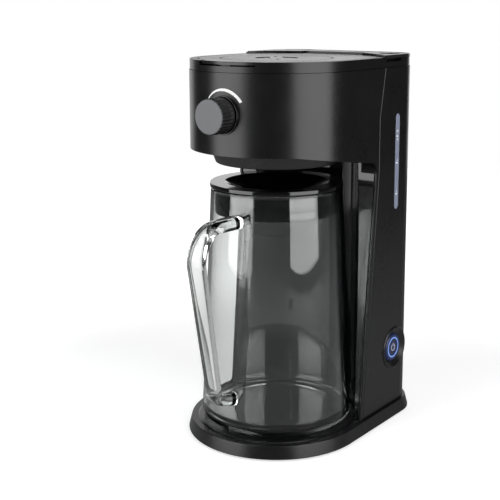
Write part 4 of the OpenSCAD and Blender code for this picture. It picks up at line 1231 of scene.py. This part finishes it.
@dataclass
class StrengthControl:
    """Fluted knob, its collar, spindle and bypass valve."""

    axis_z: float = 313.0
    knob_back: float = -82.5
    knob_r: float = 16.0
    knob_len: float = 17.0
    bore: float = 3.06
    skirt: float = 3.0
    flutes: int = 30
    flute_depth: float = 0.65
    flute_sharpness: float = 1.6
    collar_r: float = 17.4
    collar_back: float = -75.1
    collar_front: float = -82.1

    def knob(self) -> Piece:
        """Knob with pressed flutes, about +Z first and then turned to the front."""
        r, length, bore, skirt = self.knob_r, self.knob_len, self.bore, self.skirt
        outer = [(r - 2.2, 0.0), (r - 0.4, 0.0), (r, 0.4), (r, skirt - 0.5), (r - 0.1, skirt - 0.15)]
        grip = [(r - 0.12, skirt + 0.3 + k * (length - skirt - 1.8) / 6) for k in range(7)]
        angles = [math.radians(18 * k) for k in range(6)]
        edge = [(r - 0.12 - 0.9 * (1 - math.cos(a)), length - 1.1 + 0.6 * math.sin(a)) for a in angles]
        face = [(r - 1.3, length - 0.6), (r - 1.5, length - 1.0), (0, length - 1.0)]
        inner = [(0, 14.0), (bore, 14.0), (bore, 0.0), (bore + 2.4, 0.0), (bore + 2.4, 9.0), (r - 2.2, 9.0)]
        profile = outer + grip + edge + face + inner
        on_grip, on_edge = [0.0] + [1.0] * 6, [1.0, 1.0, 0.9, 0.6, 0.25, 0.0]
        marks = [0.0] * len(outer) + on_grip + on_edge + [0.0] * (len(face) + len(inner))
        piece = about_origin(revolve("knob_fluted", profile, self.flutes * 12, 30.0))
        heights = {(round(p[0], 3), round(p[1], 3)): m for p, m in zip(profile, marks)}
        attribute = piece.data.attributes.new("fluted", "FLOAT", "POINT")
        for i, vertex in enumerate(piece.data.vertices):
            key = (round(math.hypot(vertex.co.x, vertex.co.y) / MM, 3), round(vertex.co.z / MM, 3))
            attribute.data[i].value = heights.get(key, 0.0)
        values = {"Count": self.flutes, "Depth": self.flute_depth * MM, "Sharpness": self.flute_sharpness}
        grow(piece, flutes_tree(), KNOB_ABS, values)
        piece.data.transform(Matrix.Translation((0, AXIS_Y * MM, 0)))
        smooth(piece, 40.0)
        return moved(piece, onto_front(self.knob_back, self.axis_z))

    def face(self) -> Piece:
        """Grey cap let into the knob's front, with a rounded rim."""
        r, top = self.knob_r - 1.05, self.knob_len
        profile = [(0, top - 0.9), (r, top - 0.9), (r, top - 0.45), (r - 0.15, top - 0.15)]
        profile += [(r - 0.5, top - 0.02), (r * 0.7, top), (0, top)]
        return moved(revolve("knob_face", profile, 128), onto_front(self.knob_back, self.axis_z))

    def collar(self) -> Piece:
        """Dark collar with a rounded rim, recessed round the knob's root."""
        depth = self.collar_back - self.collar_front
        r, bore, recess, floor = self.collar_r, self.bore, self.knob_r + 0.4, depth - 0.8
        corners = [(bore, 0.0), (r, 0.0), (r, depth), (recess, depth), (recess, floor), (bore, floor)]
        piece = revolve("collar_rounded", softened(corners, 0.35), 128)
        return moved(piece, onto_front(self.collar_back, self.axis_z))

    def build(self) -> None:
        """Builds and dresses the strength control."""
        dress(self.knob(), KNOB_ABS, Body.KNOB, Slot.SATIN_BLACK, "strength_knob")
        dress(self.face(), KNOB_FACE, Body.KNOB, Slot.KNOB_GREY)
        dress(self.collar(), GLOSS_ABS, Body.MACHINE, Slot.GLOSS_BLACK, "knob_collar")
        repaint("knob_spindle", WHITE_ACETAL)
        repaint("strength_valve", WHITE_ACETAL)


@dataclass
class PowerButton:
    """Bezel, push button, lit ring and switch on the right side."""

    y: float = 88.0
    z: float = 71.5
    face_x: float = 79.9
    side_x: float = 80.5
    button_r: float = 13.6
    bezel_r: float = 21.5
    ring_in: float = 8.8
    ring_out: float = 10.4
    line: float = 0.85

    def bezel(self) -> Piece:
        """Bezel with a rounded rim and a cone down to the button."""
        b, r = self.button_r, self.bezel_r
        corners = [(b + 0.4, -7), (r - 2.7, -7), (r - 2.7, 0.05), (r, 0.05), (r, 0.45), (r - 0.9, 1.1)]
        corners += [(r - 2.2, 1.1), (b + 1.2, -1.4), (b + 0.4, -1.8)]
        piece = revolve("bezel_rounded", softened(corners, 0.35), 128)
        return moved(piece, onto_side(self.side_x, self.y, self.z))

    def button(self) -> Piece:
        """Push button with a slightly dished face and the ring's groove."""
        r, a, b = self.button_r, self.ring_in, self.ring_out
        corners = [(0, -7), (r - 1.6, -7), (r - 1.6, -4), (r, -4), (r, -0.8), (r - 0.8, 0.0)]
        corners += [(b, -0.05), (b, -1.2), (a, -1.2), (a, -0.1)]
        profile = [(0, -7), *softened(corners, 0.2, 3, False)[1:], (4.4, -0.35), (0, -0.45)]
        return moved(revolve("button_dished", profile, 112), onto_side(self.face_x, self.y, self.z))

    def ring(self) -> Piece:
        """Lit ring that stands a little proud of its groove."""
        a, b = self.ring_in + 0.1, self.ring_out - 0.1
        profile = softened([(a, -1.1), (b, -1.1), (b, 0.1), (a, 0.1)], 0.45, 5)
        return moved(revolve("light_ring_rounded", profile, 96), onto_side(self.face_x, self.y, self.z))

    def band(self, path: Sequence[Flat], name: str) -> Piece:
        """A line of even width along a path on the button's face.

        Args:
            path: Points about the button's middle, across and up.
            name: Name of the object.

        Returns:
            The line, half a millimetre thick.
        """
        points, faces = [], []
        for i, (u, v) in enumerate(path):
            a, b = path[max(i - 1, 0)], path[min(i + 1, len(path) - 1)]
            along = Vector((b[0] - a[0], b[1] - a[1])).normalized() * (self.line / 2)
            for side in (-1, 1):
                points.append((self.face_x - 0.28, self.y + u - along.y * side, self.z + v + along.x * side))
        for i in range(len(path) - 1):
            faces.append((2 * i, 2 * i + 1, 2 * i + 3, 2 * i + 2))
        return thickened(mesh_object(name, points, faces), 0.5)

    def symbol(self) -> Piece:
        """Plain on and off symbol: an open circle with a bar."""
        circle = self.band(arc((0, 0), 3.3, 125, 415, 40), "circle")
        return joined("power_symbol", [circle, self.band([(0, 1.2), (0, 4.4)], "bar")])

    def build(self) -> None:
        """Builds and dresses the button."""
        dress(self.bezel(), HOUSING_ABS, Body.MACHINE, Slot.SATIN_BLACK, "button_bezel")
        dress(self.button(), GLOWING_CAP, Body.BUTTON, Slot.GLOSS_BLACK, "power_button")
        dress(self.ring(), LIGHT_GUIDE, Body.BUTTON, Slot.RING_LIGHT, "light_ring")
        dress(self.symbol(), LIT_SYMBOL, Body.BUTTON, Slot.RING_LIGHT)
        repaint("switch_body", WHITE_ACETAL)


@dataclass
class LevelWindow:
    """Frosted window in the side with its printed marks."""

    y: float = 87.0
    low: float = 212.4
    high: float = 305.4
    width: float = 8.5
    face_x: float = 80.0
    ink: float = 0.02

    def pane(self) -> Piece:
        """Pill shaped pane with the flange behind it."""
        r = self.width / 2
        pill = arc((0, self.high - r), r, 0, 180, 24) + arc((0, self.low + r), r, 180, 360, 24)
        steps = [(0.0, 77.5), (0.0, self.face_x - 0.5), (0.15, self.face_x - 0.15), (0.5, self.face_x)]
        rings = [[(x, self.y + u, v) for u, v in inset_ring(pill, inset)] for inset, x in steps]
        pane = loft("level_window_pane", rings)
        flange = block("flange", (76.3, self.y - r - 2, self.low - 2), (77.8, self.y + r + 2, self.high + 2))
        return carved(pane, [flange], "UNION")

    def marks(self, name: str, size: Flat, spots: Sequence[Flat]) -> Piece:
        """Printed marks of one size.

        Args:
            name: Name of the object.
            size: Half width and half height of a mark.
            spots: Shift along Y and height of each.

        Returns:
            One object with all the marks.
        """
        mark = about_origin(block(name + "_mark", (-self.ink, -size[0], -size[1]), (self.ink, *size)))
        return copies_at(name, [(self.face_x + self.ink, self.y + u, v) for u, v in spots], mark, PAD_INK)

    def build(self) -> None:
        """Builds and dresses the window."""
        dress(self.pane(), FROSTED_SAN, Body.MACHINE, Slot.CLEAR_PLASTIC, "level_window")
        dashes = [(-0.3, z) for z in (288.6, 283.6, 257.8, 227.5)]
        ticks = [(-1.6, 288.6), (1.2, 288.6), (-0.4, 280.6), (1.0, 280.6), (0.6, 260.4), (0.2, 230.0)]
        dress(self.marks("level_marks", (1.7, 0.55), dashes), PAD_INK, Body.MACHINE, Slot.WHITE_PLASTIC)
        dress(self.marks("level_ticks", (0.35, 0.9), ticks), PAD_INK, Body.MACHINE, Slot.WHITE_PLASTIC)


@dataclass
class BrewParts:
    """Basket holder that shows below the head, basket, filter and their screws."""

    low: float = 263.4
    low_r: float = 57.0
    mid_r: float = 62.2
    mid_z: float = 277.0
    top: float = 348.5
    opening: float = 64.6
    flange_r: float = 72.5
    wall: float = 2.2
    screw_r: float = 69.4
    screw_z: float = 344.3

    def holder(self) -> Piece:
        """Tapered bowl with a rounded lower edge and an outlet in its floor."""
        w, low, top, opening = self.wall, self.low, self.top, self.opening
        corners = [(9.0, low + 0.2), (11.5, low), (self.low_r, low), (self.mid_r, self.mid_z)]
        corners += [(opening + 1, top - 10), (self.flange_r, top - 2.4), (self.flange_r, top)]
        corners += [(opening - 1, top), (opening - 1.2, top - 8)]
        corners += [(self.mid_r - w, self.mid_z), (self.low_r - w, low + w + 1.4), (9.0, low + w)]
        return revolve("holder_bowl", softened(corners, 1.6, 5), 160)

    def build(self) -> None:
        """Builds and dresses the brewing parts."""
        dress(self.holder(), BREW_PP, Body.MACHINE, Slot.SATIN_BLACK, "basket_holder")
        repaint("brew_basket", BREW_PP)
        repaint("filter_mesh", FILTER_STEEL)
        angles = map(math.radians, (30, 150, 210, 330))
        ring = [(self.screw_r * math.cos(a), self.screw_r * math.sin(a), self.screw_z) for a in angles]
        dress_screws("chamber_screws", ring, 8.0)


@dataclass
class WaterPath:
    """Tank, hoses, check valve and heater, which keep their CAD shapes."""

    def build(self) -> None:
        """Gives each piece of the water path its finish."""
        for node, finish in (
            ("water_tank", CLEAR_SAN),
            ("cold_hose", SILICONE_RUBBER),
            ("hot_riser", SILICONE_RUBBER),
            ("check_valve", WHITE_ACETAL),
            ("check_ball", FILTER_STEEL),
            ("heater", HEATER_ALUMINIUM),
            ("heater_bracket", PLATED_STEEL),
            ("thermostat", PLATED_STEEL),
            ("thermal_fuse", WHITE_ACETAL),
        ):
            repaint(node, finish)


@dataclass
class Jug:
    """Glass jug with its handle, and the funnel lid with its seal."""

    foot: float = 15.3
    rim: float = 240.3
    rim_r: float = 62.0
    wide_r: float = 72.3
    wall: float = 3.0
    floor: float = 7.0
    foot_round: float = 8.5
    handle_top: float = 221.0
    handle_low: float = 44.0
    handle_reach: float = 128.0
    low_reach: float = 98.5
    bend: float = 31.0
    strap: float = 9.5
    skirt: float = 24.0
    skirt_gap: float = 1.0

    def outside(self) -> Piece:
        """Solid of the jug's outside, with its foot ring."""
        foot, round_r, rim = self.foot, self.foot_round, self.rim
        profile = [(0, foot + 1.2), (55.0, foot + 1.2), (58.0, foot + 0.7), (60.0, foot)]
        profile += arc((self.wide_r - round_r, foot + round_r), round_r, -90, 0, 12)
        profile += [(self.wide_r, foot + 14), (self.rim_r, rim - 3)]
        profile += [*arc((self.rim_r - 1.5, rim - 1.5), 1.5, 0, 90, 6), (0, rim)]
        return revolve("jug_glass_blown", profile, 192)

    def inside(self) -> Piece:
        """Solid of the jug's inside, with its rounded floor and rim."""
        inner, floor, rim = self.rim_r - self.wall, self.foot + self.floor, self.rim
        profile = [(0, floor + 1.2), (50.0, floor), *arc((61.0, floor + 8), 8.0, -90, 0, 10)]
        profile += [(inner, rim - 4), (inner, rim - 1.4), (inner + 0.4, rim - 0.5), (inner + 1.4, rim + 0.02)]
        profile += [(inner + 1.4, rim + 3), (0, rim + 3)]
        return revolve("jug_inside_cut", profile, 192)

    def handle(self) -> Piece:
        """Pressed strap handle with round edges, widest where it leaves the upper bend."""
        top, low, thick = self.handle_top, self.handle_low, self.strap
        drop = thick + 1
        outer = [(-52.0, top), (-self.handle_reach, top), (-self.low_reach, low + 8), (-52.0, low - 6)]
        inner = [(-56.0, top - thick - 2.5), (-self.handle_reach + thick, top - drop)]
        inner += [(-self.low_reach + thick - 3, low + drop + 6), (-56.0, low + thick + 2)]
        lines = []
        for line, upper_r, lower_r in ((outer, self.bend, 16), (inner, self.bend - 7, 10)):
            upper, lower = fillet(*line[:3], upper_r), fillet(*line[1:], lower_r)
            lines.append([line[0], *upper, *lower, line[3]])
        widths = [16.5 + 3.4 * k / 13 for k in range(14)] + [15.8 - 1.8 * k / 13 for k in range(14)]
        return strap("handle", *lines, widths)

    def glass(self) -> Piece:
        """The whole glass: outside and handle, less the inside."""
        body = carved(self.outside(), [self.handle()], "UNION")
        return carved(body, [self.inside()], sharp=60.0)

    def slots(self, height: float) -> Piece:
        """Cutter of the eight slots round the lid's middle, with its foot at a height."""
        line = arc((2.3, 0), 1.7, -90, 90, 8) + arc((-2.3, 0), 1.7, 90, 270, 8)
        slot = about_origin(prism("slot", [(y, x) for x, y in reversed(line)], 0.0, 20.0))
        values = {"Count": 8, "Radius": 16.5 * MM, "First": math.radians(22.5)}
        cutter = grow(slot, turns_tree(), GLOSS_ABS, values)
        cutter.data.transform(Matrix.Translation((0, AXIS_Y * MM, height * MM)))
        return tidy(cutter)

    def lid(self) -> Piece:
        """Funnel lid with a raised middle, eight slots and a skirt for its seal."""
        top = self.rim + 0.3 + 4
        floor, low, edge = top - 12, self.rim - self.skirt, self.rim_r + 0.8
        r = self.rim_r - self.wall - self.skirt_gap
        corners = [(8, floor + 2), (11, floor), (22, floor), (46, top - 1.4), (49, top), (edge, top)]
        corners += [(edge, self.rim + 0.3), (r, self.rim + 0.3), (r, low + 12), (r - 1.4, low + 12)]
        corners += [(r - 1.4, low + 9), (r, low + 9), (r, low), (r - 2.4, low), (r - 2.4, self.rim - 2)]
        corners += [(50, top - 3), (22.4, floor - 2)]
        profile = [(0, floor + 2.6), *softened(corners, 0.8, 4, False), (0, floor - 2)]
        return carved(revolve("jug_lid_funnel", profile, 160), [self.slots(floor - 5)])

    def seal(self) -> Piece:
        """Ring that fills the skirt's groove and stands a little proud of it."""
        r, z = self.rim_r - self.wall - self.skirt_gap, self.rim - self.skirt
        corners = [(r - 1.2, z + 9.1), (r - 0.05, z + 9.1), (r - 0.05, z + 7.9), (r + 0.04, z + 7.9)]
        corners += [(r + 0.1, z + 10.5), (r + 0.04, z + 13.1), (r - 0.05, z + 13.1), (r - 0.05, z + 11.9)]
        corners += [(r - 1.2, z + 11.9)]
        return revolve("lid_seal_soft", corners, 128)

    def build(self) -> None:
        """Builds and dresses the jug."""
        dress(self.glass(), JUG_GLASS, Body.JUG, Slot.JUG_CLEAR, "jug_glass")
        dress(self.lid(), GLOSS_ABS, Body.JUG_COVER, Slot.GLOSS_BLACK, "jug_lid")
        dress(self.seal(), GLOSS_SILICONE, Body.JUG_COVER, Slot.SILICONE, "lid_seal")


# Studio


@dataclass(frozen=True)
class SoftBox:
    """A lamp that faces the object, with its lengths in metres.

    Azimuth 0 is the front, level is the brightness of its face, where 1 is white, and aim_z
    is the height that it points at on the jug's axis.
    """

    name: str
    azimuth: float
    distance: float
    height: float
    size: Flat
    level: float
    aim_z: float

    def build(self) -> None:
        """Sets the lamp."""
        data = bpy.data.lights.new(self.name, "AREA")
        data.shape = "RECTANGLE"
        data.size, data.size_y = self.size
        data.energy = self.level * math.pi * self.size[0] * self.size[1]
        lamp = bpy.data.objects.new(self.name, data)
        a = math.radians(self.azimuth)
        lamp.location = (self.distance * math.sin(a), AXIS_Y * MM - self.distance * math.cos(a), self.height)
        aim = Vector((0, AXIS_Y * MM, self.aim_z)) - Vector(lamp.location)
        lamp.rotation_euler = aim.to_track_quat("-Z", "Y").to_euler()
        lamp.visible_camera = False
        bpy.context.scene.collection.objects.link(lamp)


SOFT_BOXES = (
    SoftBox("soft_box_right", 83, 0.85, 0.7395, (0.8, 1.41), 3.3, 0.7395),
    SoftBox("soft_box_left", -27, 0.95, 0.72, (0.8, 1.44), 3.3, 0.72),
    SoftBox("soft_box_top", 200, 0.25, 1.5, (1.0, 1.0), 1.2, 0.2),
)


@dataclass
class Studio:
    """Floor, backdrop, lamps and the camera at the photograph's angle."""

    azimuth: float = 0.6266
    distance: float = 956.0
    height: float = 407.6
    yaw: float = -0.0034
    pitch: float = 0.1928
    lens: float = 74.05
    shift_x: float = -0.0602
    shift_y: float = -0.09
    glass_view: float = 0.72
    floor_r: float = 1650.0
    fade: Flat = (0.3, 0.62)
    near_glow: float = 0.62
    card_distance: float = 1650.0
    card_half: float = 1500.0
    card_low: float = -250.0
    card_high: float = 950.0

    def camera(self) -> None:
        """Sets the camera."""
        data = bpy.data.cameras.new("camera")
        data.lens, data.sensor_width = self.lens, 36.0
        data.shift_x, data.shift_y = self.shift_x, self.shift_y
        data.clip_start, data.clip_end = 0.05, 50.0
        eye = bpy.data.objects.new("camera", data)
        a, p = self.azimuth, self.pitch
        place = (self.distance * math.sin(a), AXIS_Y - self.distance * math.cos(a), self.height)
        eye.location = [v * MM for v in place]
        turn = a + self.yaw
        towards = Vector((-math.sin(turn) * math.cos(p), math.cos(turn) * math.cos(p), -math.sin(p)))
        eye.rotation_euler = towards.to_track_quat("-Z", "Y").to_euler()
        bpy.context.scene.collection.objects.link(eye)
        bpy.context.scene.camera = eye

    def seen(self, tree: Tree, mirrored: bool) -> Socket:
        """How strongly a background shows to a ray.

        Args:
            tree: Node tree that it goes into.
            mirrored: Whether it also shows in reflections.

        Returns:
            1 for camera rays, less for rays straight through glass, and 0 for the rest.
        """
        path = add_node(tree, "ShaderNodeLightPath").outputs
        bounces = maths(tree, "ADD", path["Glossy Depth"], path["Diffuse Depth"])
        straight = maths(tree, "LESS_THAN", bounces, 0.5)
        through = maths(tree, "MULTIPLY", path["Is Transmission Ray"], straight)
        dimmed = maths(tree, "MULTIPLY", through, self.glass_view)
        total = maths(tree, "MAXIMUM", path["Is Camera Ray"], dimmed)
        return maths(tree, "MAXIMUM", total, path["Is Glossy Ray"]) if mirrored else total

    def floor(self) -> None:
        """Pale floor that keeps the soft shadow, fades to white and is a little darker in mirrors."""
        rings, steps = 24, 96
        points: list[Place] = [(0, 0, 0)]
        faces: list[Sequence[int]] = []
        for k in range(1, rings + 1):
            points += level(arc((0, 0), self.floor_r * k / rings, 0, 360 - 360 / steps, steps - 1), 0)
        for i in range(steps):
            faces.append((0, 1 + i, 1 + (i + 1) % steps))
            for k in range(rings - 1):
                a, b = 1 + k * steps, 1 + (k + 1) * steps
                faces.append((a + i, b + i, b + (i + 1) % steps, a + (i + 1) % steps))
        plane = mesh_object("floor", points, faces)
        material, tree, where = new_material("paper_floor")
        inputs = {0: where, 1: (0.0, -AXIS_Y * MM, 0.0)}
        middle = add_node(tree, "ShaderNodeVectorMath", inputs, operation="ADD").outputs[0]
        reach = add_node(tree, "ShaderNodeVectorMath", {0: middle}, operation="LENGTH").outputs["Value"]
        near, far = self.fade
        inputs = {"Value": reach, "From Min": near, "From Max": far, "To Min": self.near_glow, "To Max": 1.0}
        whiter = add_node(tree, "ShaderNodeMapRange", inputs, interpolation_type="SMOOTHSTEP").outputs[0]
        strength = maths(tree, "MULTIPLY", self.seen(tree, False), whiter)
        glossy = add_node(tree, "ShaderNodeLightPath").outputs["Is Glossy Ray"]
        tone = blend(tree, glossy, linear("#d2d2d2"), linear("#b2b2b2"))
        paper = add_node(tree, "ShaderNodeBsdfDiffuse", {"Color": tone}).outputs[0]
        glow = add_node(tree, "ShaderNodeEmission", {"Strength": strength}).outputs[0]
        both = add_node(tree, "ShaderNodeAddShader", {0: paper, 1: glow}).outputs[0]
        add_node(tree, "ShaderNodeOutputMaterial", {"Surface": both})
        plane.data.materials.append(material)

    def backdrop(self) -> None:
        """White card behind the object, which its top and its glass mirror."""
        a = self.azimuth + math.pi
        middle = Vector((math.sin(a), -math.cos(a))) * self.card_distance
        side = Vector((math.cos(a), math.sin(a))) * self.card_half
        left, right = tuple(middle - side), tuple(middle + side)
        low, high = self.card_low, self.card_high
        corners = [(*left, low), (*right, low), (*right, high), (*left, high)]
        card = mesh_object("backdrop", corners, [(0, 1, 2, 3)])
        material, tree, _ = new_material("backdrop_paper")
        glow = add_node(tree, "ShaderNodeEmission", {"Strength": self.seen(tree, True)}).outputs[0]
        add_node(tree, "ShaderNodeOutputMaterial", {"Surface": glow})
        card.data.materials.append(material)
        card.visible_shadow = False

    def world(self) -> None:
        """White to the camera and through glass, dim to all else."""
        world = bpy.data.worlds.new("studio")
        bpy.context.scene.world = world
        world.use_nodes = True
        tree = world.node_tree
        tree.nodes.clear()
        inputs = {"Value": self.seen(tree, False), "To Min": 0.05, "To Max": 1.0}
        strength = add_node(tree, "ShaderNodeMapRange", inputs).outputs[0]
        inputs = {"Color": linear("#ffffff"), "Strength": strength}
        sky = add_node(tree, "ShaderNodeBackground", inputs).outputs[0]
        add_node(tree, "ShaderNodeOutputWorld", {"Surface": sky})

    def build(self) -> None:
        """Builds the studio."""
        bpy.context.scene.view_settings.view_transform = "Standard"
        self.camera()
        self.floor()
        self.backdrop()
        self.world()
        for lamp in SOFT_BOXES:
            lamp.build()


def main() -> None:
    """Builds the sub-assemblies in order."""
    logging.basicConfig(level=logging.INFO, format="%(name)s: %(message)s")
    Studio().build()
    makers = (BaseUnit, Housing, Deck, StrengthControl, PowerButton, LevelWindow, BrewParts, WaterPath, Jug)
    for maker in makers:
        LOG.info("building %s", maker.__name__)
        maker().build()


if __name__ == "__main__":
    main()
